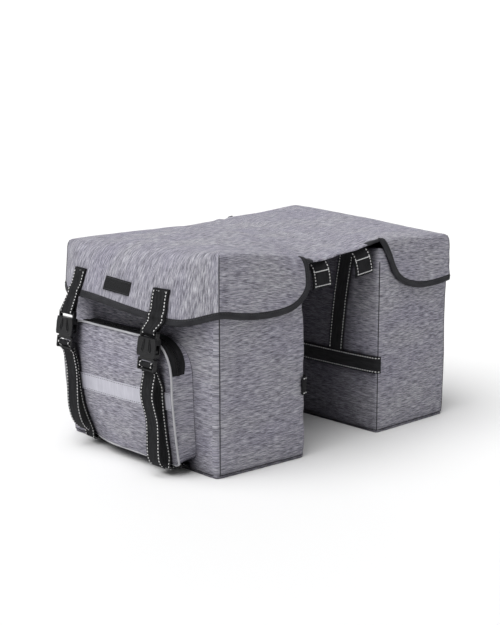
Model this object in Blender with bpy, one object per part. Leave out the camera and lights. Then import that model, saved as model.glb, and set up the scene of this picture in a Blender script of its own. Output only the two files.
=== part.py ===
# Double bicycle rack bag: two soft box bags under one continuous cover.
# Metres, +Z up.  X runs along the bicycle, Y across it.  The near bag's outer
# face looks towards -Y.  The far bag is the near bag turned half round about Z.
import math

import bmesh
import bpy
import numpy as np
from mathutils import Matrix, Vector
from mathutils.bvhtree import BVHTree

for old in list(bpy.data.objects):
    bpy.data.objects.remove(old, do_unlink=True)

MM = 0.001

# ------------------------------------------------------------ driving sizes
BAG_W = 0.331            # each bag along the bicycle
BAG_D = 0.161            # each bag across the bicycle, at its corners
RACK_GAP = 0.159         # between the two inner walls
BODY_CLOTH = 0.0022      # foam-backed cloth of the bags
COVER_CLOTH = 0.0020     # cover sheet
POCKET_CLOTH = 0.0018
CORNER_R = 0.005         # upright corners of the bags
CLEAR = 0.0004           # gap between neighbouring pieces
WEB_W = 0.028            # webbing width
WEB_T = 0.0015           # webbing thickness
TAPE = 0.008             # how far the edge binding laps over the cover
STRAP_X = 0.0915         # closing straps either side of the middle
LABEL = (0.058, 0.018)
LID_STRAP_TOP = (0.2640, 0.2590)     # left, right
POCKET_HALF = 0.118      # half width of the pocket's front panel
POCKET_Z = (0.016, 0.189)
POCKET_R = (0.008, 0.045)    # bottom and top corner radius of the panel
BELT_Z = (0.093, 0.119)      # belt round each inner wall
BUCKLE_TILT = math.radians(8)
BUCKLE_BAR = (-0.2970, 0.2040)   # y, z of the top bar's middle

HX = BAG_W / 2
Y_OUT = RACK_GAP / 2 + BAG_D
Y_IN = RACK_GAP / 2

# ------------------------------------------------------------ shape tables, mm
# Bag wall, by height: lean of the visible end at its outer and inner corner,
# then how far the front, the inner wall and the ends swell at mid span.
BODY_LEVELS = (
    # z, lean_outer, lean_inner, front, inner, end
    (0.0, -6.0, 5.5, -1.0, -1.0, -0.8),
    (4.0, -5.5, 6.5, 0.0, 0.0, 0.0),
    (30.0, -5.5, 6.0, 5.0, 2.0, 1.0),
    (75.0, -5.0, 5.0, 10.0, 4.0, 2.0),
    (130.0, -4.0, 4.5, 14.0, 5.0, 2.5),
    (190.0, -1.0, 3.5, 16.0, 4.0, 2.0),
    (245.0, 0.0, 1.0, 14.0, 2.0, 0.5),
    (300.0, 0.0, 0.0, 9.0, 0.0, 0.0),
)
# Height of the cover's top, a row for each station across the bags.
TOP_X = (-165, -82, 0, 82, 165)
TOP_ROWS = (
    # y, then z at each TOP_X
    (-234.5, (295, 299, 303, 307, 311)),
    (-200, (295.5, 301, 305, 308, 308.5)),
    (-160, (295, 303, 307, 308, 303.5)),
    (-120, (294, 305, 309, 307, 296)),
    (-98, (293.5, 306, 310, 306, 291)),
    (-79.5, (293, 306, 309, 304, 287)),
    (-66, (291, 302, 304, 297, 277)),
    (-36, (291, 297, 299, 291, 280)),
    (0, (292, 295, 296, 290, 284)),
    (36, (293.5, 295, 294, 289.5, 287.5)),
    (66, (296, 297, 293, 291, 290.5)),
    (79.5, (298.5, 299, 294.5, 294, 297)),
    (98, (298.5, 298, 294.5, 294, 296)),
    (120, (299, 298.5, 296, 294.5, 295)),
    (160, (300.5, 299.5, 297, 295, 293.5)),
    (200, (303, 301, 298, 294.5, 291)),
    (234.5, (304, 301.5, 297.5, 293, 288)),
)
COVER_X = (-159.5, -132, -105.5, -91.5, -77.5, -40, 0, 40, 77.5, 91.5, 105.5, 132, 159.5)
FLAP_COLS = (-234.5, -200, -160, -120, -98, -79.5)      # y of the end flaps' columns
# Front flap, going down: drop below the edge and reach out from the bag's
# corner plane, at the corners and at mid span.
FLAP_ROWS = (
    # corner_drop, corner_out, mid_drop, mid_out   (drop 1.0 = the hem)
    (0.0, -6.0, 0.0, -6.0),
    (2.0, -1.0, 3.0, 7.0),
    (6.5, 2.2, 10.0, 18.0),
    (26.0, 3.2, 24.0, 28.0),
    (50.0, 4.6, 50.0, 38.0),
    (None, 7.0, None, 47.0),
)
END_OUT = (-6.0, -1.0, 2.2, 2.8, 4.0, 6.0)
# Hem height of the front flaps at each COVER_X (near), and of the far one.
HEM_FRONT = {
    "near": (219, 222, 226, 227, 228, 227, 223, 220, 217, 215, 213, 212, 223),
    "far": (215, 215, 217, 218, 219, 221, 222, 222, 222, 221, 220, 219, 219),
}
# Hem height of the end flaps, from the corner (0) to the inner edge (1).
HEM_END = (
    # share, near, far
    (0.0, 225.5, 217.0),
    (0.22, 217.5, 214.0),
    (0.48, 213.5, 213.5),
    (0.74, 215.0, 220.0),
    (0.88, 222.0, 229.0),
    (1.0, 241.0, 243.0),
)
# Inner edge of the end flaps: distance from the middle plane, going down.
EDGE_ROWS = (
    # row, near, far
    (0, 79.5, 79.5),
    (1, 78.0, 80.0),
    (2, 75.5, 82.0),
    (3, 73.5, 91.0),
    (4, 73.5, 99.0),
    (5, 74.5, 106.0),
)
# Pocket: how far its front panel stands out from the corner plane.
POCKET_DEPTH = (
    # z, at_left, at_right
    (16, 14, 30),
    (40, 27, 34),
    (70, 38, 38),
    (110, 42, 42),
    (160, 44, 44),
    (189, 43, 43),
)
# Free tail of each lower strap: height and y.
TAIL_RIGHT = ((146, -299.0), (132, -302.5), (116, -304.5), (98, -300.5), (80, -296.0),
              (58, -295.0), (38, -295.0), (24, -293.0), (14.5, -286.0))
TAIL_LEFT = ((146, -298.0), (132, -295.0), (116, -292.5), (98, -292.0), (80, -292.0),
             (62, -291.0), (46, -287.0), (34, -281.0), (25, -272.0))


# ------------------------------------------------------------ materials
def material(name, colour, rough, metal=0.0):
    m = bpy.data.materials.new(name)
    m.use_nodes = True
    b = m.node_tree.nodes["Principled BSDF"]
    b.inputs["Base Color"].default_value = (*colour, 1)
    b.inputs["Roughness"].default_value = rough
    b.inputs["Metallic"].default_value = metal
    return m


GREY = material("melange_cloth", (0.33, 0.33, 0.36), 0.85)
BLACK_TAPE = material("edge_binding", (0.02, 0.02, 0.022), 0.7)
WEBBING = material("webbing", (0.013, 0.013, 0.014), 0.75)
PLASTIC = material("buckle_plastic", (0.014, 0.014, 0.015), 0.42)
PIPING = material("light_piping", (0.5, 0.5, 0.52), 0.6)
REFLECT = material("reflective_tape", (0.52, 0.52, 0.6), 0.45)
LABEL_CLOTH = material("label_cloth", (0.01, 0.01, 0.01), 0.6)
ZIP_TAPE = material("zip_tape", (0.012, 0.012, 0.013), 0.7)
ZIP_METAL = material("zip_metal", (0.05, 0.05, 0.05), 0.4, 0.6)


# ------------------------------------------------------------ helpers
def table(rows, at, col):
    """Value of one column of a table at a position along its first column."""
    return float(np.interp(at, [r[0] for r in rows], [r[col] for r in rows]))


def add_object(name, verts, faces, mat, smooth=35.0):
    mesh = bpy.data.meshes.new(name)
    mesh.from_pydata([tuple(v) for v in verts], [], [tuple(f) for f in faces])
    bm = bmesh.new()
    bm.from_mesh(mesh)
    bmesh.ops.recalc_face_normals(bm, faces=bm.faces)
    if bm.calc_volume(signed=True) < 0:
        bmesh.ops.reverse_faces(bm, faces=bm.faces)
    bmesh.ops.triangulate(bm, faces=bm.faces)
    bm.to_mesh(mesh)
    bm.free()
    mesh.materials.append(mat)
    mesh.shade_smooth()
    mesh.set_sharp_from_angle(angle=math.radians(smooth))
    obj = bpy.data.objects.new(name, mesh)
    bpy.context.scene.collection.objects.link(obj)
    return obj


def sheet_normals(verts, faces):
    """Even-thickness offset direction at each point of an open sheet."""
    pts = np.array(verts, dtype=float)
    per = [[] for _ in pts]
    for f in faces:
        p = pts[list(f)]
        n = np.zeros(3)
        for k in range(len(f)):
            n += np.cross(p[k] - p[0], p[(k + 1) % len(f)] - p[0])
        n /= max(np.linalg.norm(n), 1e-12)
        for k, v in enumerate(f):
            a = p[k - 1] - p[k]
            b = p[(k + 1) % len(f)] - p[k]
            c = np.dot(a, b) / max(np.linalg.norm(a) * np.linalg.norm(b), 1e-12)
            per[v].append((n, math.acos(max(-1, min(1, c)))))
    out = np.zeros_like(pts)
    for v, items in enumerate(per):
        n = sum(i[0] * i[1] for i in items)
        n /= np.linalg.norm(n)
        even = min(np.dot(n, i[0]) for i in items)
        out[v] = n / max(even, 0.6)
    return out


def thick_sheet(verts, faces, thickness):
    """Closed body from a sheet whose faces look outwards."""
    n = sheet_normals(verts, faces)
    pts = np.array(verts, dtype=float)
    inner = pts - n * thickness
    count = len(pts)
    out = [tuple(f) for f in faces]
    out += [tuple(count + v for v in reversed(f)) for f in faces]
    edges = {}
    for f in faces:
        for k in range(len(f)):
            edges[(f[k], f[(k + 1) % len(f)])] = True
    for a, b in edges:
        if (b, a) not in edges:
            out.append((b, a, a + count, b + count))
    return np.vstack([pts, inner]), out


def loft(sections, closed=False):
    """Closed body through cross-sections with the same number of points."""
    n = len(sections[0])
    verts = [p for s in sections for p in s]
    faces = []
    last = len(sections) if closed else len(sections) - 1
    for i in range(last):
        a, b = i * n, ((i + 1) % len(sections)) * n
        for k in range(n):
            faces.append((a + k, a + (k + 1) % n, b + (k + 1) % n, b + k))
    if not closed:
        faces.append(tuple(range(n - 1, -1, -1)))
        faces.append(tuple((len(sections) - 1) * n + k for k in range(n)))
    return verts, faces


def turned(points, side):
    """Near-bag coordinates to the bag's real place."""
    pts = np.array(points, dtype=float)
    if side == "far":
        pts = pts * np.array([-1.0, -1.0, 1.0])
    return pts


def cover_top(x, y):
    """Height of the cover at a place, by the table of stations."""
    zs = [r[1] for r in TOP_ROWS]
    ys = [r[0] for r in TOP_ROWS]
    y = max(ys[0], min(ys[-1], y / MM))
    k = max(i for i in range(len(ys) - 1) if ys[i] <= y)
    t = (y - ys[k]) / (ys[k + 1] - ys[k])
    row = [a + (b - a) * t for a, b in zip(zs[k], zs[k + 1])]
    # smooth curve through the five heights
    u = (max(-165.0, min(165.0, x / MM)) + 165.0) / 82.5
    i = min(int(u), 3)
    f = u - i
    p = [row[max(0, min(4, i + d))] for d in (-1, 0, 1, 2)]
    z = 0.5 * ((2 * p[1]) + (p[2] - p[0]) * f + (2 * p[0] - 5 * p[1] + 4 * p[2] - p[3]) * f * f
               + (3 * p[1] - p[0] - 3 * p[2] + p[3]) * f ** 3)
    return z * MM


def body_point(side, u_x, u_y, z, arc=None):
    """Point of the bag wall.  u_x, u_y run -1..1 over the section."""
    lean = 1.0 if side == "near" else 0.0
    zz = z / MM
    lo, li, fb, ib, eb = (table(BODY_LEVELS, zz, c) for c in (1, 2, 3, 4, 5))
    hx, hd = HX - 0.0015, BAG_D / 2 - 0.0005
    x, y = u_x * hx, u_y * hd            # y < 0 is the outer face
    outer = (1 - u_y) / 2
    if u_x > 0:
        x += lean * u_x * (lo * outer + li * (1 - outer)) * MM
    grow_x = eb * (1 - abs(u_y) ** 4) * MM
    x += math.copysign(grow_x, u_x) * max(0.0, (abs(u_x) - 0.9) / 0.1)
    if u_y < 0:
        y -= fb * (1 - abs(u_x) ** 3) * MM * max(0.0, (abs(u_y) - 0.8) / 0.2)
    else:
        y += ib * (1 - abs(u_x) ** 4) * MM * max(0.0, (abs(u_y) - 0.8) / 0.2)
    if z < 0.0035:                        # softened bottom edge
        x -= math.copysign(0.0014, u_x) * abs(u_x) ** 8
        y -= math.copysign(0.0014, u_y) * abs(u_y) ** 8
    return np.array([x, y - (Y_OUT + Y_IN) / 2, z])


def body_ring():
    """Unit outline of a bag section, counter-clockwise seen from above."""
    rx, ry = CORNER_R / HX, CORNER_R / (BAG_D / 2)
    pts = []
    for cx, cy, a0 in ((1, -1, -90), (1, 1, 0), (-1, 1, 90), (-1, -1, 180)):
        for k in range(3):
            a = math.radians(a0 + 45 * k)
            pts.append((cx * (1 - rx) + rx * math.cos(a), cy * (1 - ry) + ry * math.sin(a)))
        side = {(1, -1): [(1, -0.45), (1, 0.0), (1, 0.45)],
                (1, 1): [(0.72, 1), (0.36, 1), (0.0, 1), (-0.36, 1), (-0.72, 1)],
                (-1, 1): [(-1, 0.45), (-1, 0.0), (-1, -0.45)],
                (-1, -1): [(-0.72, -1), (-0.36, -1), (0.0, -1), (0.36, -1), (0.72, -1)]}
        pts += side[(cx, cy)]
    return pts


def make_body(side):
    ring = body_ring()
    n = len(ring)
    levels = [0.0, 0.004, 0.030, 0.075, 0.130, 0.190, 0.245]
    verts = []
    for z in levels:
        verts += [body_point(side, u, v, z) for u, v in ring]
    rim = []
    for u, v in ring:
        p = body_point(side, u, v, 0.285)
        w = turned([p], side)[0]
        p[2] = cover_top(w[0], w[1]) - 0.0135
        rim.append(p)
    verts += rim
    rows = len(levels) + 1
    faces = []
    for i in range(rows - 1):
        for k in range(n):
            a, b = i * n + k, i * n + (k + 1) % n
            faces.append((a, b, b + n, a + n))
    verts.append(np.array([0, -(Y_OUT + Y_IN) / 2, 0.0]))
    c = len(verts) - 1
    for k in range(n):
        faces.append((k, c, (k + 1) % n))
    faces = [tuple(f) for f in faces]
    v, f = thick_sheet(turned(verts, side), faces, BODY_CLOTH)
    # the floor keeps one thickness all over
    return add_object(side + "_bag_body", v, f, GREY)


def front_face(side_x, z):
    """y of the near bag's front wall at x and z."""
    fb = table(BODY_LEVELS, z / MM, 3) * MM
    u = min(1.0, abs(side_x) / (HX - 0.0015))
    return -(Y_OUT - 0.0005) - fb * (1 - u ** 3)


# ------------------------------------------------------------ cover
def hem_end(share, side):
    return table(HEM_END, share, 1 if side == "near" else 2) * MM


def flap_column(side, kind, index):
    """Outer-skin points of one column of a flap, going down, near-bag frame."""
    world = -1.0 if side == "far" else 1.0
    pts = []
    if kind == "front":
        x = COVER_X[index] * MM
        y = FLAP_COLS[0] * MM
        ztop = cover_top(world * x, world * y)
        zhem = HEM_FRONT[side][index] * MM
        mid = 1 - (abs(COVER_X[index]) / 159.5) ** 4.5
        for r, (cd, co, md, mo) in enumerate(FLAP_ROWS):
            out = (co + (mo - co) * mid) * MM
            if cd is None:
                z = zhem
            else:
                z = ztop - (cd + (md - cd) * mid) * MM
            pts.append((x, -Y_OUT - out, z))
    elif kind == "end":
        sx, col = index                      # +1 right end, -1 left end
        y = FLAP_COLS[col] * MM
        x0 = sx * 159.5 * MM
        ztop = cover_top(world * x0, world * y)
        share = (FLAP_COLS[col] - FLAP_COLS[0]) / (FLAP_COLS[-1] - FLAP_COLS[0])
        zhem = hem_end(share, side)
        drops = [0, 2.0, 6.5]
        full = (ztop - zhem) / MM
        drops += [6.5 + (full - 6.5) * k for k in (0.3, 0.65, 1.0)]
        for r in range(6):
            edge = -table(EDGE_ROWS, r, 1 if side == "near" else 2)
            yy = FLAP_COLS[0] + (edge - FLAP_COLS[0]) * share
            xx = HX / MM + END_OUT[r]
            pts.append((sx * xx * MM, yy * MM, ztop - drops[r] * MM))
    else:                                    # 45 degree corner column
        sx = index
        x0, y0 = sx * 159.5 * MM, FLAP_COLS[0] * MM
        ztop = cover_top(world * x0, world * y0)
        zhem = (hem_end(0.0, side) + HEM_FRONT[side][0 if sx < 0 else -1] * MM) / 2 + 0.001
        drops = [0, 2.0, 6.5]
        full = (ztop - zhem) / MM
        drops += [6.5 + (full - 6.5) * k for k in (0.3, 0.65, 1.0)]
        for r in range(6):
            o = (6.0 + END_OUT[r]) * 0.78 * MM
            pts.append((x0 + sx * o, y0 - o - 0.0, ztop - drops[r] * MM))
    return pts


verts, faces = [], []
index = {}


def vert(key, point):
    if key not in index:
        index[key] = len(verts)
        verts.append(np.array(point, dtype=float))
    return index[key]


ys = [r[0] * MM for r in TOP_ROWS]
xs = [c * MM for c in COVER_X]
for j, y in enumerate(ys):
    for i, x in enumerate(xs):
        vert(("top", i, j), (x, y, cover_top(x, y)))
for j in range(len(ys) - 1):
    for i in range(len(xs) - 1):
        faces.append((index[("top", i, j)], index[("top", i + 1, j)],
                      index[("top", i + 1, j + 1)], index[("top", i, j + 1)]))

hem_paths = {}
for side in ("near", "far"):
    last_i, last_j = len(xs) - 1, len(ys) - 1

    def top_key(i, j, side=side):
        return ("top", i, j) if side == "near" else ("top", last_i - i, last_j - j)

    columns = []
    for col in range(len(FLAP_COLS) - 1, -1, -1):
        columns.append((("end", (1, col)), top_key(last_i, col)))
    columns.append((("corner", 1), top_key(last_i, 0)))
    for i in range(last_i, -1, -1):
        columns.append((("front", i), top_key(i, 0)))
    columns.append((("corner", -1), top_key(0, 0)))
    for col in range(len(FLAP_COLS)):
        columns.append((("end", (-1, col)), top_key(0, col)))
    grid = []
    for (kind, idx), base in columns:
        pts = turned(flap_column(side, kind, idx), side)
        ids = [index[base]]
        for r in range(1, 6):
            ids.append(vert((side, kind, idx, r), pts[r]))
        grid.append(ids)
    for a, b in zip(grid, grid[1:]):
        for r in range(5):
            quad = (a[r], b[r], b[r + 1], a[r + 1])
            if a[r] == b[r]:
                quad = (a[r], b[r + 1], a[r + 1])
            faces.append(quad)
    hem_paths[side] = grid

# outward-looking faces: the first top face must look up
check = np.cross(verts[faces[0][1]] - verts[faces[0][0]], verts[faces[0][2]] - verts[faces[0][0]])
top_up = check[2] > 0
sheet_faces = []
for f in faces:
    sheet_faces.append(tuple(f) if top_up else tuple(reversed(f)))
# flap faces run the other way round the sheet than the top faces
n_top = (len(xs) - 1) * (len(ys) - 1)
a, b, c = (verts[k] for k in sheet_faces[n_top][:3])
outward = np.cross(b - a, c - a)
if outward[0] < 0:
    sheet_faces = sheet_faces[:n_top] + [tuple(reversed(f)) for f in sheet_faces[n_top:]]
cv, cf = thick_sheet(verts, sheet_faces, COVER_CLOTH)
add_object("top_cover", cv, cf, GREY, 50)
COVER_OUT = np.array(cv[:len(verts)])
COVER_IN = np.array(cv[len(verts):])


# ------------------------------------------------------------ edge binding
def make_binding(side):
    """Folded tape round the cover's hem: up one inner edge, round, up the other."""
    grid = hem_paths[side]
    path = []                                   # (edge vertex, vertex inside the sheet)
    for r in range(1, 5):
        path.append((grid[0][r], grid[1][r]))
    path.append((grid[0][5], grid[1][4]))
    for c in range(1, len(grid) - 1):
        path.append((grid[c][5], grid[c][4]))
    path.append((grid[-1][5], grid[-2][4]))
    for r in range(4, 0, -1):
        path.append((grid[-1][r], grid[-2][r]))
    mid = [(COVER_OUT[e] + COVER_IN[e]) / 2 for e, _ in path]
    sections = []
    for k, (e, inside) in enumerate(path):
        ahead = mid[min(k + 1, len(mid) - 1)] - mid[max(k - 1, 0)]
        ahead /= np.linalg.norm(ahead)
        into = (COVER_OUT[inside] + COVER_IN[inside]) / 2 - mid[k]
        into /= np.linalg.norm(into)
        normal = COVER_OUT[e] - COVER_IN[e]
        normal /= np.linalg.norm(normal)
        flat = np.cross(ahead, into)
        flat /= np.linalg.norm(flat)
        if np.dot(flat, normal) < 0:
            flat = -flat
        h, g = COVER_CLOTH / 2 + CLEAR + 0.0005, 0.0010
        # tape depth, short where the neighbouring column is close
        lap = min(TAPE, 0.8 * np.linalg.norm(COVER_OUT[inside] - COVER_OUT[e]))
        shape = ((h + g, lap), (h + g, -CLEAR - 0.0012), (-h - g, -CLEAR - 0.0012), (-h - g, lap),
                 (-h, lap), (-h, -CLEAR), (h, -CLEAR), (h, lap))
        sections.append([mid[k] + flat * s + into * b for s, b in shape])
    v, f = loft(sections)
    return add_object(side + "_lid_binding", v, f, BLACK_TAPE)


# ------------------------------------------------------------ pocket
def pocket_outline(grow=0.0, lift=0.0):
    """Rounded outline (x, z), counter-clockwise from the bottom right corner."""
    hx, zb, zt = POCKET_HALF + grow, POCKET_Z[0] - grow + lift, POCKET_Z[1] + grow
    rb, rt = POCKET_R[0] + grow, POCKET_R[1] + grow
    pts = []
    for cx, cz, r, a0, steps in ((hx - rb, zb + rb, rb, -90, 2), (hx - rt, zt - rt, rt, 0, 4),
                                 (-hx + rt, zt - rt, rt, 90, 4), (-hx + rb, zb + rb, rb, 180, 2)):
        for k in range(steps + 1):
            a = math.radians(a0 + 90 * k / steps)
            pts.append((cx + r * math.cos(a), cz + r * math.sin(a)))
        if a0 == -90:
            pts += [(hx, 0.070), (hx, 0.138)]
        if a0 == 0:
            pts += [(hx * 0.3, zt), (-hx * 0.3, zt)]
        if a0 == 90:
            pts += [(-hx, 0.138), (-hx, 0.070)]
        if a0 == 180:
            pts += [(-hx * 0.55, zb), (0.0, zb), (hx * 0.55, zb)]
    return pts


def pocket_front(x, z):
    zz = z / MM
    left, right = table(POCKET_DEPTH, zz, 1), table(POCKET_DEPTH, zz, 2)
    w = max(0.0, min(1.0, (-0.030 - x) / 0.070))
    w = w * w * (3 - 2 * w)
    crown = 5.0 * max(0.0, 1 - (x / 0.118) ** 2) * max(0.0, 1 - ((zz - 103) / 88) ** 2)
    return -Y_OUT - (right + (left - right) * w + crown) * MM


def pocket_ring(share, out=0.0):
    """Gusset ring: 0 at the bag wall, 1 at the front panel's edge."""
    back = pocket_outline(0.003 + out, 0.006 + out)
    front = pocket_outline(out)
    ring = []
    for (xb, zb), (xf, zf) in zip(back, front):
        yb = front_face(xb, zb) - CLEAR - 0.0004
        yf = pocket_front(max(-0.118, min(0.118, xf)), zf)
        p, q = np.array([xb, yb, zb]), np.array([xf, yf, zf])
        ring.append(p + (q - p) * share)
    return ring


ZIP_SPAN = (0.50, 0.86)        # slot in the gusset, as shares of its depth
N_ZIP = (4, 15)                # outline points between which the zip runs


def make_pocket(side):
    rings = [pocket_ring(s) for s in (0.0, ZIP_SPAN[0], ZIP_SPAN[1], 1.0)]
    n = len(rings[0])
    edge = rings[-1]
    cx, cz = 0.0, 0.100
    for s in (0.93, 0.68, 0.34):
        ring = []
        for p in edge:
            x, z = cx + (p[0] - cx) * s, cz + (p[2] - cz) * s
            ring.append(np.array([x, pocket_front(x, z), z]))
        rings.append(ring)
    pts = [p for r in rings for p in r]
    pts.append(np.array([cx, pocket_front(cx, cz), cz]))
    f = []
    for i in range(len(rings) - 1):
        for k in range(n):
            if i == 1 and N_ZIP[0] <= k < N_ZIP[1]:
                continue
            a, b = i * n + k, i * n + (k + 1) % n
            f.append((a, b, b + n, a + n))
    c = len(pts) - 1
    base = (len(rings) - 1) * n
    for k in range(n):
        f.append((base + k, base + (k + 1) % n, c))
    world = turned(pts, side)
    v, ff = thick_sheet(world, f, POCKET_CLOTH)
    obj = add_object(side + "_pocket", v, ff, GREY)
    skin = BVHTree.FromPolygons([tuple(p) for p in pts], f)
    return obj, skin


def make_zip(side):
    """Zip tape over the slot in the gusset, from side to side over the top."""
    sections = []
    rings = {s: pocket_ring(s) for s in (0.44, 0.93)}
    lo, hi = rings[0.44], rings[0.93]
    for k in range(N_ZIP[0], N_ZIP[1] + 1):
        a, b = lo[k], hi[k]
        ahead = lo[min(k + 1, N_ZIP[1])] - lo[max(k - 1, N_ZIP[0])]
        out = np.cross(ahead, b - a)
        out /= np.linalg.norm(out)
        if np.dot(out, a - np.array([0, a[1], 0.1])) < 0:
            out = -out
        low, high = CLEAR + 0.0002, CLEAR + 0.0016
        sections.append([a + out * low, b + out * low, b + out * high, a + out * high])
    v, f = loft(sections)
    return add_object(side + "_pocket_zip", turned(v, side), f, ZIP_TAPE)


def make_piping(side):
    ring = pocket_ring(1.0)
    n = len(ring)
    r = 0.0016
    sections = []
    for k in range(n):
        ahead = ring[(k + 1) % n] - ring[k - 1]
        ahead /= np.linalg.norm(ahead)
        out = np.cross(ahead, np.array([0, -1.0, 0]))
        out /= np.linalg.norm(out)
        if np.dot(out, ring[k] - np.array([0, ring[k][1], 0.1])) < 0:
            out = -out
        fwd = np.cross(out, ahead)
        fwd /= np.linalg.norm(fwd)
        if fwd[1] > 0:
            fwd = -fwd
        c = ring[k] + (out + fwd) / math.sqrt(2) * (r + CLEAR + 0.0002)
        sections.append([c + r * (math.cos(a) * out + math.sin(a) * fwd)
                         for a in (math.radians(60 * q + 15) for q in range(6))])
    v, f = loft(sections, closed=True)
    return add_object(side + "_pocket_piping", turned(v, side), f, PIPING, 70)


def on_pocket(skin, x, z):
    hit = skin.ray_cast(Vector((x, -0.5, z)), Vector((0, 1, 0)))
    return hit[0].y if hit[0] is not None else pocket_front(x, z)


def make_reflector(side, skin):
    sections = []
    for k in range(13):
        x = -0.109 + 0.218 * k / 12
        top = 0.1140 + 0.006 * k / 12
        row = []
        for z in (top - 0.0245, top - 0.0123, top):
            row.append((x, on_pocket(skin, x, z), z))
        lift = (CLEAR + 0.0001, CLEAR + 0.0011)
        sections.append([(p[0], p[1] - lift[0], p[2]) for p in row]
                        + [(p[0], p[1] - lift[1], p[2]) for p in reversed(row)])
    v, f = loft(sections)
    return add_object(side + "_reflective_band", turned(v, side), f, REFLECT)


# ------------------------------------------------------------ webbing
def ribbon(path, half_w, thick, edge_shift=None):
    """Flat strap through (x, y, z) points that bends in the Y-Z plane.
    edge_shift gives the y offset of the left and right edge at each point."""
    pts = [np.array(p, dtype=float) for p in path]
    sections = []
    for k, p in enumerate(pts):
        a = pts[k] - pts[k - 1] if k else pts[1] - pts[0]
        b = pts[k + 1] - pts[k] if k < len(pts) - 1 else a
        a, b = a / np.linalg.norm(a), b / np.linalg.norm(b)
        t = a + b
        t /= np.linalg.norm(t)
        n = np.array([0.0, -t[2], t[1]])
        n /= np.linalg.norm(n)
        n /= max(0.75, float(np.dot(a, b)) * 0.5 + 0.5)
        shift = edge_shift[k] if edge_shift else (0.0, 0.0)
        row = []
        for sx, dy in ((-half_w, shift[0]), (0.0, 0.0), (half_w, shift[1])):
            row.append(p + np.array([sx, dy, 0.0]))
        sections.append([q - n * thick / 2 for q in row] + [q + n * thick / 2 for q in reversed(row)])
    return loft(sections)


def buckle_point(v, w):
    """Place in the buckle's plane: v down its length, w out from the bag."""
    c, s = math.cos(BUCKLE_TILT), math.sin(BUCKLE_TILT)
    return (BUCKLE_BAR[0] - v * s - w * c, BUCKLE_BAR[1] - v * c + w * s)


def make_lid_strap(side, sx, name):
    """Doubled webbing sewn to the flap, looped round the buckle's bar."""
    cols = [COVER_X.index(sx * c) for c in ((77.5, 91.5, 105.5) if sx > 0 else (105.5, 91.5, 77.5))]
    prof = [flap_column(side, "front", c) for c in cols]
    x = sx * STRAP_X

    def skin(col, z):
        rows = [(p[2], p[1]) for p in prof[col]][::-1]
        return float(np.interp(z, [r[0] for r in rows], [r[1] for r in rows]))

    hem = prof[1][-1][2]
    top = LID_STRAP_TOP[0 if sx < 0 else 1]
    tape = max(p[-1][2] for p in prof) + TAPE
    heights = [top, (top * 2 + tape + 0.006) / 3, (top + 2 * (tape + 0.006)) / 3, tape + 0.006, tape + 0.0015,
               hem + 0.0015]
    lift = [0.0, 0.0, 0.0, 0.0002, 0.0018, 0.0018]
    inner, outer, shift = [], [], []
    for z, up in zip(heights, lift):
        y = skin(1, z)
        base = CLEAR + 0.0002 + up
        inner.append((x, y - base - WEB_T * 0.5 - 0.0002, z))
        outer.append((x, y - base - WEB_T * 1.5 - CLEAR - 0.0006, z))
        shift.append((skin(0, z) - y, skin(2, z) - y))
    loop = []
    r = 0.0035
    for deg in (26, 55, 85, 115, 145, 175, 206):
        a = math.radians(deg)
        yy, zz = buckle_point(math.sin(a) * r, -math.cos(a) * r)
        loop.append((x, yy, zz))
    path = inner + loop + outer[::-1]
    shifts = shift + [(0, 0)] * len(loop) + shift[::-1]
    v, f = ribbon(path, WEB_W / 2, WEB_T, shifts)
    return add_object(name, turned(v, side), f, WEBBING)


def make_lower_strap(side, sx, name, skin):
    """From the wall under the pocket, up the pocket, round the ladder bar, down as a tail."""
    x = sx * STRAP_X
    path = []
    wall = front_face(x, 0.012)
    y_edge = on_pocket(skin, x, 0.0175)
    sides = [on_pocket(skin, x + d, 0.0175) - y_edge for d in (-WEB_W / 2, WEB_W / 2)]
    z_low = POCKET_Z[0] - CLEAR - WEB_T / 2 - 0.0040
    path.append((x, wall - CLEAR - WEB_T / 2, 0.0035))
    path.append((x, wall - 0.0030, z_low - 0.0035))
    path.append((x, wall - 0.0055, z_low - 0.0005))
    path.append((x, (wall + y_edge) / 2, z_low))
    path.append((x, y_edge + 0.0010, z_low))
    shift = [(0, 0), (0, 0), (0, 0), (sides[0] / 2, sides[1] / 2), tuple(sides)]
    for z in (0.0115, 0.0165):
        path.append((x, y_edge - (0.0042 if z < 0.012 else 0.0052), z))
        shift.append(tuple(sides))
    for z, lift in ((0.026, 0.0014), (0.040, 0.0014), (0.050, 0.0018), (0.061, 0.0018), (0.072, 0.0014),
                    (0.083, 0.0022), (0.105, 0.0022), (0.128, 0.0022)):
        y = on_pocket(skin, x, z)
        path.append((x, y - CLEAR - WEB_T / 2 - lift, z))
        shift.append(tuple(on_pocket(skin, x + d, z) - y for d in (-WEB_W / 2, WEB_W / 2)))
    # up behind the ladder, over the middle bar, back through the lower slot
    back = -(0.0030 + CLEAR + WEB_T / 2)
    path.append((x, buckle_point(56.0 * MM, back - 0.0052)[0], buckle_point(56.0 * MM, 0)[1]))
    path.append((x, *buckle_point(48.5 * MM, back - 0.0022)))
    r = 0.00325
    for deg in (200, 160, 125, 90, 55, 20, -20, -60, -98):
        a = math.radians(deg)
        path.append((x, *buckle_point(45.0 * MM - math.sin(a) * r, math.cos(a) * r)))
    path.append((x, *buckle_point(49.2 * MM, -0.0026)))
    path.append((x, *buckle_point(51.5 * MM, -0.0034)))
    path.append((x, *buckle_point(55.0 * MM, -0.0034)))
    rows = TAIL_RIGHT if sx > 0 else TAIL_LEFT
    path += [(x, y * MM, z * MM) for z, y in rows]
    shift += [(0, 0)] * (len(path) - len(shift))
    v, f = ribbon(path, WEB_W / 2, WEB_T, shift)
    return add_object(name, turned(v, side), f, WEBBING)


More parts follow.
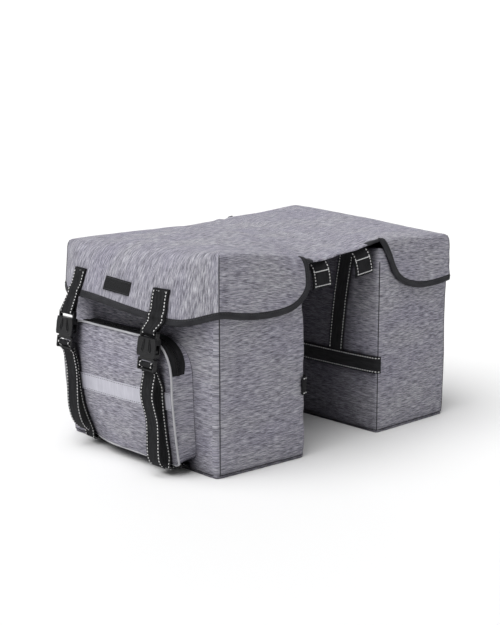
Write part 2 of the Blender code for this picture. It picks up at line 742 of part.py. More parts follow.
# ------------------------------------------------------------ buckles
def box(x0, x1, y0, y1, z0, z1):
    bpy.ops.mesh.primitive_cube_add(size=1, location=((x0 + x1) / 2, (y0 + y1) / 2, (z0 + z1) / 2))
    o = bpy.context.object
    o.scale = (x1 - x0, y1 - y0, z1 - z0)
    bpy.context.view_layer.update()
    o.data.transform(Matrix.Diagonal((*o.scale, 1.0)))
    o.scale = (1, 1, 1)
    return o


def outline_plate(points, w0, w1):
    """Plate from half an outline (u, v), mirrored in u, between two depths."""
    loop = list(points) + [(-u, v) for u, v in reversed(points)]
    n = len(loop)
    verts = [(u * MM, w0 * MM, -v * MM) for u, v in loop] + [(u * MM, w1 * MM, -v * MM) for u, v in loop]
    f = [tuple(range(n)), tuple(range(2 * n - 1, n - 1, -1))]
    f += [(k, k + n, (k + 1) % n + n, (k + 1) % n) for k in range(n)]
    return add_object("plate", verts, f, PLASTIC)


def carve(obj, cutters):
    """Apply exact differences and return the finished mesh."""
    for c in cutters:
        m = obj.modifiers.new("cut", "BOOLEAN")
        m.operation = "DIFFERENCE"
        m.solver = "EXACT"
        m.object = c
    bpy.context.view_layer.update()
    mesh = bpy.data.meshes.new_from_object(obj.evaluated_get(bpy.context.evaluated_depsgraph_get()))
    bm = bmesh.new()
    bm.from_mesh(mesh)
    bmesh.ops.triangulate(bm, faces=bm.faces, ngon_method="EAR_CLIP")
    bm.to_mesh(mesh)
    bm.free()
    for o in [obj] + cutters:
        bpy.data.objects.remove(o, do_unlink=True)
    return mesh


def female_mesh():
    """Socket half: bar frame on top, sleeve with a window at each side."""
    shell = outline_plate([(14.0, -1.6), (16.8, -0.8), (17.4, 1.5), (17.4, 9.5), (18.6, 16.0),
                           (18.6, 30.0), (17.4, 34.0)], -4.8, 4.8)
    cut = [
        box(-0.0147, 0.0147, -0.02, 0.02, -0.0082, -0.0016),          # strap slot
        box(-0.0147, 0.0147, -0.02, -0.0016, -0.0083, 0.01),          # slim bar, back
        box(-0.0147, 0.0147, 0.0016, 0.02, -0.0083, 0.01),            # slim bar, front
        box(-0.03, 0.03, -0.02, -0.0024, -0.0085, 0.01),              # thin frame, back
        box(-0.03, 0.03, 0.0024, 0.02, -0.0085, 0.01),                # thin frame, front
        box(-0.0150, 0.0150, -0.0031, 0.0031, -0.05, -0.0125),        # sleeve
        box(0.0135, 0.03, -0.0031, 0.0031, -0.0285, -0.0165),         # side windows
        box(-0.03, -0.0135, -0.0031, 0.0031, -0.0285, -0.0165),
    ]
    return carve(shell, cut)


def male_mesh():
    """Plug half: two prongs and a guide inside the sleeve, ladder below."""
    plug = outline_plate([(2.2, 20.0), (2.6, 32.0), (9.0, 32.0), (11.0, 26.0), (11.2, 20.0), (12.2, 17.6),
                          (14.0, 18.4), (17.2, 24.0), (17.0, 27.4), (14.2, 27.6), (13.6, 36.0),
                          (17.2, 36.6), (17.6, 40.0), (17.6, 51.0), (16.4, 53.0)], -2.5, 2.5)
    cut = [
        box(-0.0147, 0.0147, -0.02, 0.02, -0.0434, -0.0392),          # upper slot
        box(-0.0147, 0.0147, -0.02, 0.02, -0.0508, -0.0466),          # lower slot
        box(-0.0147, 0.0147, -0.02, -0.0013, -0.06, -0.0430),         # slim bars, back
        box(-0.0147, 0.0147, 0.0013, 0.02, -0.06, -0.0430),           # slim bars, front
    ]
    return carve(plug, cut)


def place_buckle(mesh, name, side, sx):
    obj = bpy.data.objects.new(name, mesh)
    bpy.context.scene.collection.objects.link(obj)
    # plate depth +Y looks towards the bag; tilt the lower end outwards
    local = Matrix.Translation((sx * STRAP_X, BUCKLE_BAR[0], BUCKLE_BAR[1])) @ \
        Matrix.Rotation(-BUCKLE_TILT, 4, "X")
    if side == "far":
        local = Matrix.Rotation(math.pi, 4, "Z") @ local
    obj.matrix_world = local
    return obj


# ------------------------------------------------------------ inner side
def inner_wall(side, x, z):
    """Wall point of the inner side in the near-bag frame."""
    u = max(-1.0, min(1.0, x / (HX - 0.0015)))
    return body_point(side, u, 1.0, z)[1]


def make_belt(side):
    """Belt along the inner wall, its ends turned onto the end walls."""
    ring = body_ring()
    zmid = sum(BELT_Z) / 2
    order = [k for k, (u, v) in enumerate(ring) if v > 0.9 or (abs(u) > 0.99 and v > 0.8)]
    pts = [body_point(side, *ring[k], zmid) for k in order]
    lean = pts[0][0] - HX
    start = body_point(side, 1.0, 0.80, zmid)
    end = body_point(side, -1.0, 0.80, zmid)
    path = [start] + pts + [end]
    centre = np.array([0, -(Y_OUT + Y_IN) / 2, zmid])
    sections = []
    for k, p in enumerate(path):
        a = path[min(k + 1, len(path) - 1)] - path[max(k - 1, 0)]
        n = np.array([a[1], -a[0], 0.0])
        n /= np.linalg.norm(n)
        if np.dot(n, p - centre) < 0:
            n = -n
        lo, hi = 0.0034, 0.0051
        sections.append([p + n * lo + np.array([0, 0, BELT_Z[0] - zmid]),
                         p + n * lo + np.array([0, 0, BELT_Z[1] - zmid]),
                         p + n * hi + np.array([0, 0, BELT_Z[1] - zmid]),
                         p + n * hi + np.array([0, 0, BELT_Z[0] - zmid])])
    v, f = loft(sections)
    return add_object(side + "_inner_belt", turned(v, side), f, WEBBING)


def make_inner_strap(side):
    """Upright webbing on the inner wall, from the belt to the bridge."""
    rows = ((0.090, -0.083), (0.120, -0.085), (0.165, -0.089), (0.210, -0.094), (0.245, -0.099))
    pts = []
    for z, x in rows:
        pts.append((x, inner_wall(side, x, z) + CLEAR + 0.0004 + WEB_T / 2, z))
    pts.append((-0.104, -Y_IN + 0.0060, 0.266))
    pts.append((-0.107, -Y_IN + 0.0130, 0.2765))
    v, f = ribbon([tuple(p) for p in pts], WEB_W / 2, WEB_T)
    return add_object(side + "_inner_strap", turned(v, side), f, WEBBING)


def make_tab(name, side, y_top, lean):
    """Folded webbing tab under the bridge's edge.  Near frame, right edge."""
    world = -1.0 if side == "far" else 1.0
    x = 0.1500
    top = cover_top(world * x, world * y_top) - COVER_CLOTH - 0.0040
    sections = []
    for k, (d, out) in enumerate(((0.0, -0.006), (0.008, 0.0), (0.020, 0.002), (0.034, 0.002), (0.0365, 0.0005))):
        t = 0.0034 if k < 4 else 0.0018
        yc = y_top + lean * d
        zc = top - d
        xc = x + out + 0.0045
        sections.append([(xc - t / 2, yc - WEB_W / 2, zc), (xc + t / 2, yc - WEB_W / 2, zc),
                         (xc + t / 2, yc + WEB_W / 2, zc), (xc - t / 2, yc + WEB_W / 2, zc)])
    v, f = loft(sections)
    return add_object(name, turned(v, side), f, WEBBING)


# ------------------------------------------------------------ assembly
make_body("near")
make_body("far")
female, male = None, None
for side in ("near", "far"):
    make_binding(side)
    pocket, skin = make_pocket(side)
    make_zip(side)
    make_piping(side)
    make_reflector(side, skin)
    make_belt(side)
    make_inner_strap(side)
    for sx, word in ((-1, "left"), (1, "right")):
        make_lid_strap(side, sx, f"{side}_lid_strap_{word}")
        make_lower_strap(side, sx, f"{side}_lower_strap_{word}", skin)
        if female is None:
            female, male = female_mesh(), male_mesh()
        place_buckle(female, f"{side}_buckle_socket_{word}", side, sx)
        place_buckle(male, f"{side}_buckle_plug_{word}", side, sx)

# tabs: two under each edge of the bridge; y and slant in the near frame
make_tab("bridge_tab_1", "near", -0.040, 0.15)
make_tab("bridge_tab_2", "near", 0.046, 0.25)
make_tab("bridge_tab_3", "far", -0.040, 0.15)
make_tab("bridge_tab_4", "far", 0.046, 0.25)

# label patch between the near lid's straps
cols = [COVER_X.index(c) for c in (-40, 0, 40)]
prof = [flap_column("near", "front", c) for c in cols]


def lid_skin(x, z):
    vals = []
    for p in prof:
        rows = [(q[2], q[1]) for q in p][::-1]
        vals.append(float(np.interp(z, [r[0] for r in rows], [r[1] for r in rows])))
    return float(np.interp(x, [-0.040, 0.0, 0.040], vals))


sections = []
for k in range(5):
    x = -LABEL[0] / 2 + LABEL[0] * k / 4
    z0 = 0.2430 - 0.002 * k / 4
    row = [(x, lid_skin(x, z) - CLEAR - 0.0003, z) for z in (z0, z0 + LABEL[1] / 2, z0 + LABEL[1])]
    sections.append(row + [(p[0], p[1] - 0.0012, p[2]) for p in reversed(row)])
v, f = loft(sections)
add_object("label_patch", v, f, LABEL_CLOTH)


# zip slider and pull, on the left gusset of each pocket
def make_slider(side, z_mid, length):
    lo, hi = pocket_ring(0.60), pocket_ring(0.78)

    def at(ring, z):
        left = sorted([p for p in ring if p[0] < -0.06 and p[2] > 0.05], key=lambda p: p[2])
        return np.array([float(np.interp(z, [p[2] for p in left], [p[c] for p in left])) for c in range(3)])

    a, b = at(lo, z_mid), at(hi, z_mid)
    ahead = (at(lo, z_mid + 0.004) - at(lo, z_mid - 0.004)) / 0.008
    ahead /= np.linalg.norm(ahead)
    cross = (b - a) / np.linalg.norm(b - a)
    out = np.cross(ahead, cross)
    out /= np.linalg.norm(out)
    if out[0] > 0:
        out = -out
    p = (a + b) / 2 + out * (CLEAR * 2 + 0.0018)
    sec = []
    for s, hw in ((-0.0060, 0.0030), (-0.0040, 0.0042), (0.0040, 0.0036), (0.0060, 0.0026)):
        c = p + ahead * s
        sec.append([c - cross * hw, c + cross * hw, c + cross * hw * 0.8 + out * 0.0030,
                    c - cross * hw * 0.8 + out * 0.0030])
    v, f = loft(sec)
    add_object(side + "_zip_slider", turned(v, side), f, ZIP_METAL)
    # the pull hangs straight down beside the slider
    reach = max(abs(q[0]) for q in v) + CLEAR + 0.0012
    sec = []
    for d, hw, t in ((-0.003, 0.0020, 0.0012), (0.004, 0.0030, 0.0014), (0.020, 0.0026, 0.0014),
                     (0.036, 0.0030, 0.0016), (length, 0.0024, 0.0014)):
        y = p[1]
        sec.append([(-reach - t / 2, y - hw, z_mid - d), (-reach - t / 2, y + hw, z_mid - d),
                    (-reach + t / 2, y + hw, z_mid - d), (-reach + t / 2, y - hw, z_mid - d)])
    v, f = loft(sec)
    add_object(side + "_zip_pull", turned(v, side), f, ZIP_TAPE)


make_slider("near", 0.146, 0.058)
make_slider("far", 0.146, 0.058)
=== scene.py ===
# Double bicycle rack bag, dressed over its fixed frame.
import math

import bmesh
import bpy
import numpy as np
from mathutils import Matrix, Vector
from mathutils.bvhtree import BVHTree


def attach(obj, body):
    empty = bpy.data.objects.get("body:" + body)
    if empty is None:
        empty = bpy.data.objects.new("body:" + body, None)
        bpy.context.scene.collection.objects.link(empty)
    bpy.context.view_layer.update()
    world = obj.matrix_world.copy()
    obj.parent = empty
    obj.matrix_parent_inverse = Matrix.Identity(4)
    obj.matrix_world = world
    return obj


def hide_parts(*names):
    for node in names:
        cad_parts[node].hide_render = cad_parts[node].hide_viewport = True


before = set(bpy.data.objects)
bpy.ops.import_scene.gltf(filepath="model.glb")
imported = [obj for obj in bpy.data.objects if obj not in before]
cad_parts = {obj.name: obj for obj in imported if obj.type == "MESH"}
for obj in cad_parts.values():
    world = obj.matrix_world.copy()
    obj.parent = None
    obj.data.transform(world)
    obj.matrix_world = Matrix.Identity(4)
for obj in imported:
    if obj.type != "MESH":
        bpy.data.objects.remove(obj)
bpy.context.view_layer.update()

MM = 0.001

# ------------------------------------------------------------ sizes and tables, as in the solids
BAG_W = 0.331            # each bag along the bicycle
BAG_D = 0.161            # each bag across the bicycle, at its corners
RACK_GAP = 0.159         # between the two inner walls
BODY_CLOTH = 0.0022      # foam-backed cloth of the bags
COVER_CLOTH = 0.0020     # cover sheet
POCKET_CLOTH = 0.0018
CORNER_R = 0.005         # upright corners of the bags
CLEAR = 0.0004           # gap between neighbouring pieces
WEB_W = 0.028            # webbing width
WEB_T = 0.0015           # webbing thickness
TAPE = 0.008             # how far the edge binding laps over the cover
STRAP_X = 0.0915         # closing straps either side of the middle
LABEL = (0.058, 0.018)
LID_STRAP_TOP = (0.2640, 0.2590)     # left, right
POCKET_HALF = 0.118      # half width of the pocket's front panel
POCKET_Z = (0.016, 0.189)
POCKET_R = (0.008, 0.045)    # bottom and top corner radius of the panel
BELT_Z = (0.093, 0.119)      # belt round each inner wall
BUCKLE_TILT = math.radians(8)
BUCKLE_BAR = (-0.2970, 0.2040)   # y, z of the top bar's middle

HX = BAG_W / 2
Y_OUT = RACK_GAP / 2 + BAG_D
Y_IN = RACK_GAP / 2

# ------------------------------------------------------------ shape tables, mm
# Bag wall, by height: lean of the visible end at its outer and inner corner,
# then how far the front, the inner wall and the ends swell at mid span.
BODY_LEVELS = (
    # z, lean_outer, lean_inner, front, inner, end
    (0.0, -6.0, 5.5, -1.0, -1.0, -0.8),
    (4.0, -5.5, 6.5, 0.0, 0.0, 0.0),
    (30.0, -5.5, 6.0, 5.0, 2.0, 1.0),
    (75.0, -5.0, 5.0, 10.0, 4.0, 2.0),
    (130.0, -4.0, 4.5, 14.0, 5.0, 2.5),
    (190.0, -1.0, 3.5, 16.0, 4.0, 2.0),
    (245.0, 0.0, 1.0, 14.0, 2.0, 0.5),
    (300.0, 0.0, 0.0, 9.0, 0.0, 0.0),
)
# Height of the cover's top, a row for each station across the bags.
TOP_X = (-165, -82, 0, 82, 165)
TOP_ROWS = (
    # y, then z at each TOP_X
    (-234.5, (295, 299, 303, 307, 311)),
    (-200, (295.5, 301, 305, 308, 308.5)),
    (-160, (295, 303, 307, 308, 303.5)),
    (-120, (294, 305, 309, 307, 296)),
    (-98, (293.5, 306, 310, 306, 291)),
    (-79.5, (293, 306, 309, 304, 287)),
    (-66, (291, 302, 304, 297, 277)),
    (-36, (291, 297, 299, 291, 280)),
    (0, (292, 295, 296, 290, 284)),
    (36, (293.5, 295, 294, 289.5, 287.5)),
    (66, (296, 297, 293, 291, 290.5)),
    (79.5, (298.5, 299, 294.5, 294, 297)),
    (98, (298.5, 298, 294.5, 294, 296)),
    (120, (299, 298.5, 296, 294.5, 295)),
    (160, (300.5, 299.5, 297, 295, 293.5)),
    (200, (303, 301, 298, 294.5, 291)),
    (234.5, (304, 301.5, 297.5, 293, 288)),
)
COVER_X = (-159.5, -132, -105.5, -91.5, -77.5, -40, 0, 40, 77.5, 91.5, 105.5, 132, 159.5)
FLAP_COLS = (-234.5, -200, -160, -120, -98, -79.5)      # y of the end flaps' columns
# Front flap, going down: drop below the edge and reach out from the bag's
# corner plane, at the corners and at mid span.
FLAP_ROWS = (
    # corner_drop, corner_out, mid_drop, mid_out   (drop 1.0 = the hem)
    (0.0, -6.0, 0.0, -6.0),
    (2.0, -1.0, 3.0, 7.0),
    (6.5, 2.2, 10.0, 18.0),
    (26.0, 3.2, 24.0, 28.0),
    (50.0, 4.6, 50.0, 38.0),
    (None, 7.0, None, 47.0),
)
END_OUT = (-6.0, -1.0, 2.2, 2.8, 4.0, 6.0)
# Hem height of the front flaps at each COVER_X (near), and of the far one.
HEM_FRONT = {
    "near": (219, 222, 226, 227, 228, 227, 223, 220, 217, 215, 213, 212, 223),
    "far": (215, 215, 217, 218, 219, 221, 222, 222, 222, 221, 220, 219, 219),
}
# Hem height of the end flaps, from the corner (0) to the inner edge (1).
HEM_END = (
    # share, near, far
    (0.0, 225.5, 217.0),
    (0.22, 217.5, 214.0),
    (0.48, 213.5, 213.5),
    (0.74, 215.0, 220.0),
    (0.88, 222.0, 229.0),
    (1.0, 241.0, 243.0),
)
# Inner edge of the end flaps: distance from the middle plane, going down.
EDGE_ROWS = (
    # row, near, far
    (0, 79.5, 79.5),
    (1, 78.0, 80.0),
    (2, 75.5, 82.0),
    (3, 73.5, 91.0),
    (4, 73.5, 99.0),
    (5, 74.5, 106.0),
)
# Pocket: how far its front panel stands out from the corner plane.
POCKET_DEPTH = (
    # z, at_left, at_right
    (16, 14, 30),
    (40, 27, 34),
    (70, 38, 38),
    (110, 42, 42),
    (160, 44, 44),
    (189, 43, 43),
)
# Free tail of each lower strap: height and y.
TAIL_RIGHT = ((146, -299.0), (132, -302.5), (116, -304.5), (98, -300.5), (80, -296.0),
              (58, -295.0), (38, -295.0), (24, -293.0), (14.5, -286.0))
TAIL_LEFT = ((146, -298.0), (132, -295.0), (116, -292.5), (98, -292.0), (80, -292.0),
             (62, -291.0), (46, -287.0), (34, -281.0), (25, -272.0))


# ------------------------------------------------------------ shape functions, as in the solids
def table(rows, at, col):
    """Value of one column of a table at a position along its first column."""
    return float(np.interp(at, [r[0] for r in rows], [r[col] for r in rows]))


def turned(points, side):
    """Near-bag coordinates to the bag's real place."""
    pts = np.array(points, dtype=float)
    if side == "far":
        pts = pts * np.array([-1.0, -1.0, 1.0])
    return pts


def cover_top(x, y):
    """Height of the cover at a place, by the table of stations."""
    zs = [r[1] for r in TOP_ROWS]
    ys = [r[0] for r in TOP_ROWS]
    y = max(ys[0], min(ys[-1], y / MM))
    k = max(i for i in range(len(ys) - 1) if ys[i] <= y)
    t = (y - ys[k]) / (ys[k + 1] - ys[k])
    row = [a + (b - a) * t for a, b in zip(zs[k], zs[k + 1])]
    # smooth curve through the five heights
    u = (max(-165.0, min(165.0, x / MM)) + 165.0) / 82.5
    i = min(int(u), 3)
    f = u - i
    p = [row[max(0, min(4, i + d))] for d in (-1, 0, 1, 2)]
    z = 0.5 * ((2 * p[1]) + (p[2] - p[0]) * f + (2 * p[0] - 5 * p[1] + 4 * p[2] - p[3]) * f * f
               + (3 * p[1] - p[0] - 3 * p[2] + p[3]) * f ** 3)
    return z * MM


def body_point(side, u_x, u_y, z, arc=None):
    """Point of the bag wall.  u_x, u_y run -1..1 over the section."""
    lean = 1.0 if side == "near" else 0.0
    zz = z / MM
    lo, li, fb, ib, eb = (table(BODY_LEVELS, zz, c) for c in (1, 2, 3, 4, 5))
    hx, hd = HX - 0.0015, BAG_D / 2 - 0.0005
    x, y = u_x * hx, u_y * hd            # y < 0 is the outer face
    outer = (1 - u_y) / 2
    if u_x > 0:
        x += lean * u_x * (lo * outer + li * (1 - outer)) * MM
    grow_x = eb * (1 - abs(u_y) ** 4) * MM
    x += math.copysign(grow_x, u_x) * max(0.0, (abs(u_x) - 0.9) / 0.1)
    if u_y < 0:
        y -= fb * (1 - abs(u_x) ** 3) * MM * max(0.0, (abs(u_y) - 0.8) / 0.2)
    else:
        y += ib * (1 - abs(u_x) ** 4) * MM * max(0.0, (abs(u_y) - 0.8) / 0.2)
    if z < 0.0035:                        # softened bottom edge
        x -= math.copysign(0.0014, u_x) * abs(u_x) ** 8
        y -= math.copysign(0.0014, u_y) * abs(u_y) ** 8
    return np.array([x, y - (Y_OUT + Y_IN) / 2, z])


def body_ring():
    """Unit outline of a bag section, counter-clockwise seen from above."""
    rx, ry = CORNER_R / HX, CORNER_R / (BAG_D / 2)
    pts = []
    for cx, cy, a0 in ((1, -1, -90), (1, 1, 0), (-1, 1, 90), (-1, -1, 180)):
        for k in range(3):
            a = math.radians(a0 + 45 * k)
            pts.append((cx * (1 - rx) + rx * math.cos(a), cy * (1 - ry) + ry * math.sin(a)))
        side = {(1, -1): [(1, -0.45), (1, 0.0), (1, 0.45)],
                (1, 1): [(0.72, 1), (0.36, 1), (0.0, 1), (-0.36, 1), (-0.72, 1)],
                (-1, 1): [(-1, 0.45), (-1, 0.0), (-1, -0.45)],
                (-1, -1): [(-0.72, -1), (-0.36, -1), (0.0, -1), (0.36, -1), (0.72, -1)]}
        pts += side[(cx, cy)]
    return pts


def front_face(side_x, z):
    """y of the near bag's front wall at x and z."""
    fb = table(BODY_LEVELS, z / MM, 3) * MM
    u = min(1.0, abs(side_x) / (HX - 0.0015))
    return -(Y_OUT - 0.0005) - fb * (1 - u ** 3)


def hem_end(share, side):
    return table(HEM_END, share, 1 if side == "near" else 2) * MM


def flap_column(side, kind, index):
    """Outer-skin points of one column of a flap, going down, near-bag frame."""
    world = -1.0 if side == "far" else 1.0
    pts = []
    if kind == "front":
        x = COVER_X[index] * MM
        y = FLAP_COLS[0] * MM
        ztop = cover_top(world * x, world * y)
        zhem = HEM_FRONT[side][index] * MM
        mid = 1 - (abs(COVER_X[index]) / 159.5) ** 4.5
        for r, (cd, co, md, mo) in enumerate(FLAP_ROWS):
            out = (co + (mo - co) * mid) * MM
            if cd is None:
                z = zhem
            else:
                z = ztop - (cd + (md - cd) * mid) * MM
            pts.append((x, -Y_OUT - out, z))
    elif kind == "end":
        sx, col = index                      # +1 right end, -1 left end
        y = FLAP_COLS[col] * MM
        x0 = sx * 159.5 * MM
        ztop = cover_top(world * x0, world * y)
        share = (FLAP_COLS[col] - FLAP_COLS[0]) / (FLAP_COLS[-1] - FLAP_COLS[0])
        zhem = hem_end(share, side)
        drops = [0, 2.0, 6.5]
        full = (ztop - zhem) / MM
        drops += [6.5 + (full - 6.5) * k for k in (0.3, 0.65, 1.0)]
        for r in range(6):
            edge = -table(EDGE_ROWS, r, 1 if side == "near" else 2)
            yy = FLAP_COLS[0] + (edge - FLAP_COLS[0]) * share
            xx = HX / MM + END_OUT[r]
            pts.append((sx * xx * MM, yy * MM, ztop - drops[r] * MM))
    else:                                    # 45 degree corner column
        sx = index
        x0, y0 = sx * 159.5 * MM, FLAP_COLS[0] * MM
        ztop = cover_top(world * x0, world * y0)
        zhem = (hem_end(0.0, side) + HEM_FRONT[side][0 if sx < 0 else -1] * MM) / 2 + 0.001
        drops = [0, 2.0, 6.5]
        full = (ztop - zhem) / MM
        drops += [6.5 + (full - 6.5) * k for k in (0.3, 0.65, 1.0)]
        for r in range(6):
            o = (6.0 + END_OUT[r]) * 0.78 * MM
            pts.append((x0 + sx * o, y0 - o - 0.0, ztop - drops[r] * MM))
    return pts


def pocket_front(x, z):
    zz = z / MM
    left, right = table(POCKET_DEPTH, zz, 1), table(POCKET_DEPTH, zz, 2)
    w = max(0.0, min(1.0, (-0.030 - x) / 0.070))
    w = w * w * (3 - 2 * w)
    crown = 5.0 * max(0.0, 1 - (x / 0.118) ** 2) * max(0.0, 1 - ((zz - 103) / 88) ** 2)
    return -Y_OUT - (right + (left - right) * w + crown) * MM


def pocket_ring(share, out=0.0):
    """Gusset ring: 0 at the bag wall, 1 at the front panel's edge."""
    back = pocket_outline(0.003 + out, 0.006 + out)
    front = pocket_outline(out)
    ring = []
    for (xb, zb), (xf, zf) in zip(back, front):
        yb = front_face(xb, zb) - CLEAR - 0.0004
        yf = pocket_front(max(-0.118, min(0.118, xf)), zf)
        p, q = np.array([xb, yb, zb]), np.array([xf, yf, zf])
        ring.append(p + (q - p) * share)
    return ring


def buckle_point(v, w):
    """Place in the buckle's plane: v down its length, w out from the bag."""
    c, s = math.cos(BUCKLE_TILT), math.sin(BUCKLE_TILT)
    return (BUCKLE_BAR[0] - v * s - w * c, BUCKLE_BAR[1] - v * c + w * s)


def inner_wall(side, x, z):
    """Wall point of the inner side in the near-bag frame."""
    u = max(-1.0, min(1.0, x / (HX - 0.0015)))
    return body_point(side, u, 1.0, z)[1]


ROOT = "root"


def pocket_outline(grow=0.0, lift=0.0):
    """Rounded outline (x, z) of the pocket, counter-clockwise from the bottom right corner."""
    hx, zb, zt = POCKET_HALF + grow, POCKET_Z[0] - grow + lift, POCKET_Z[1] + grow
    rb, rt = POCKET_R[0] + grow, POCKET_R[1] + grow
    pts = []
    for cx, cz, r, a0, steps in ((hx - rb, zb + rb, rb, -90, 2), (hx - rt, zt - rt, rt, 0, 5),
                                 (-hx + rt, zt - rt, rt, 90, 5), (-hx + rb, zb + rb, rb, 180, 2)):
        for k in range(steps + 1):
            a = math.radians(a0 + 90 * k / steps)
            pts.append((cx + r * math.cos(a), cz + r * math.sin(a)))
        if a0 == -90:
            pts += [(hx, 0.044), (hx, 0.066), (hx, 0.090), (hx, 0.115), (hx, 0.132)]
        if a0 == 0:
            pts += [(hx * s, zt) for s in (0.4, 0.2, 0.0, -0.2, -0.4)]
        if a0 == 90:
            pts += [(-hx, 0.132), (-hx, 0.115), (-hx, 0.090), (-hx, 0.066), (-hx, 0.044)]
        if a0 == 180:
            pts += [(hx * s, zb) for s in (-0.75, -0.5, -0.25, 0.0, 0.25, 0.5, 0.75)]
    return pts


# ------------------------------------------------------------ noise
_rng = np.random.RandomState(7)
LATTICE = _rng.rand(32, 32, 32)


def value_noise(points, wave, seed=0.0):
    """Smooth noise from -1 to 1 at points, with features of a given length."""
    p = np.asarray(points, dtype=float) / wave + np.array([seed * 7.31, seed * 3.17, seed * 5.73])
    i = np.floor(p).astype(int)
    f = p - i
    f = f * f * (3 - 2 * f)
    total = np.zeros(len(p))
    for dx in (0, 1):
        for dy in (0, 1):
            for dz in (0, 1):
                w = (f[:, 0] if dx else 1 - f[:, 0]) * (f[:, 1] if dy else 1 - f[:, 1]) * (f[:, 2] if dz else 1 - f[:, 2])
                total += w * LATTICE[(i[:, 0] + dx) % 32, (i[:, 1] + dy) % 32, (i[:, 2] + dz) % 32]
    return total * 2 - 1


def ease(x, a, b):
    t = np.clip((np.asarray(x, dtype=float) - a) / (b - a), 0, 1)
    return t * t * (3 - 2 * t)


# ------------------------------------------------------------ node materials
class Graph:
    """Short way to write a node tree."""

    def __init__(self, name):
        self.mat = bpy.data.materials.new(name)
        self.mat.use_nodes = True
        self.tree = self.mat.node_tree
        self.tree.nodes.clear()
        self.out = self.tree.nodes.new("ShaderNodeOutputMaterial")
        self.bsdf = self.tree.nodes.new("ShaderNodeBsdfPrincipled")
        self.tree.links.new(self.bsdf.outputs[0], self.out.inputs[0])

    def node(self, kind, **values):
        n = self.tree.nodes.new(kind)
        for key, val in values.items():
            setattr(n, key, val)
        return n

    def link(self, a, b):
        self.tree.links.new(a, b)

    def uv(self):
        return self.node("ShaderNodeUVMap", uv_map="UVMap").outputs[0]

    def position(self):
        return self.node("ShaderNodeTexCoord").outputs["Object"]

    def mapped(self, vec, scale, shift=(0, 0, 0), turn=0.0):
        m = self.node("ShaderNodeMapping")
        m.inputs["Scale"].default_value = scale
        m.inputs["Location"].default_value = shift
        m.inputs["Rotation"].default_value = (0, 0, turn)
        self.link(vec, m.inputs["Vector"])
        return m.outputs[0]

    def noise(self, vec, scale=1.0, detail=2.0, rough=0.5, distort=0.0):
        n = self.node("ShaderNodeTexNoise")
        n.inputs["Scale"].default_value = scale
        n.inputs["Detail"].default_value = detail
        n.inputs["Roughness"].default_value = rough
        n.inputs["Distortion"].default_value = distort
        self.link(vec, n.inputs["Vector"])
        return n.outputs[0]

    def math(self, op, a, b=None, clamp=False):
        n = self.node("ShaderNodeMath", operation=op, use_clamp=clamp)
        for sock, val in ((0, a), (1, b)):
            if val is None:
                continue
            if isinstance(val, (int, float)):
                n.inputs[sock].default_value = val
            else:
                self.link(val, n.inputs[sock])
        return n.outputs[0]

    def ramp(self, fac, stops):
        n = self.node("ShaderNodeValToRGB")
        e = n.color_ramp.elements
        while len(e) < len(stops):
            e.new(0.5)
        for k, (pos, col) in enumerate(stops):
            e[k].position = pos
            e[k].color = (*col, 1)
        self.link(fac, n.inputs[0])
        return n.outputs[0]

    def mix(self, fac, a, b, blend="MIX"):
        n = self.node("ShaderNodeMix", data_type="RGBA", blend_type=blend)
        for sock, val in ((0, fac), (6, a), (7, b)):
            if isinstance(val, (int, float)):
                n.inputs[sock].default_value = val
            elif isinstance(val, tuple):
                n.inputs[sock].default_value = (*val, 1)
            else:
                self.link(val, n.inputs[sock])
        return n.outputs[2]

    def split(self, vec):
        n = self.node("ShaderNodeSeparateXYZ")
        self.link(vec, n.inputs[0])
        return n.outputs[0], n.outputs[1]

    def occlusion(self, distance):
        """Share of open sky within a distance, used to paint shade into creases and recessed gaps."""
        n = self.node("ShaderNodeAmbientOcclusion", samples=8)
        n.inputs["Distance"].default_value = distance
        return n.outputs["AO"]

    def bump(self, height, strength, distance, normal=None):
        n = self.node("ShaderNodeBump")
        n.inputs["Strength"].default_value = strength
        n.inputs["Distance"].default_value = distance
        self.link(height, n.inputs["Height"])
        if normal is not None:
            self.link(normal, n.inputs["Normal"])
        self.link(n.outputs[0], self.bsdf.inputs["Normal"])
        return n.outputs[0]

    def set(self, **values):
        for key, val in values.items():
            sock = self.bsdf.inputs[key.replace("_", " ")]
            if isinstance(val, (int, float)):
                sock.default_value = val
            elif isinstance(val, tuple):
                sock.default_value = (*val, 1)
            else:
                self.link(val, sock)


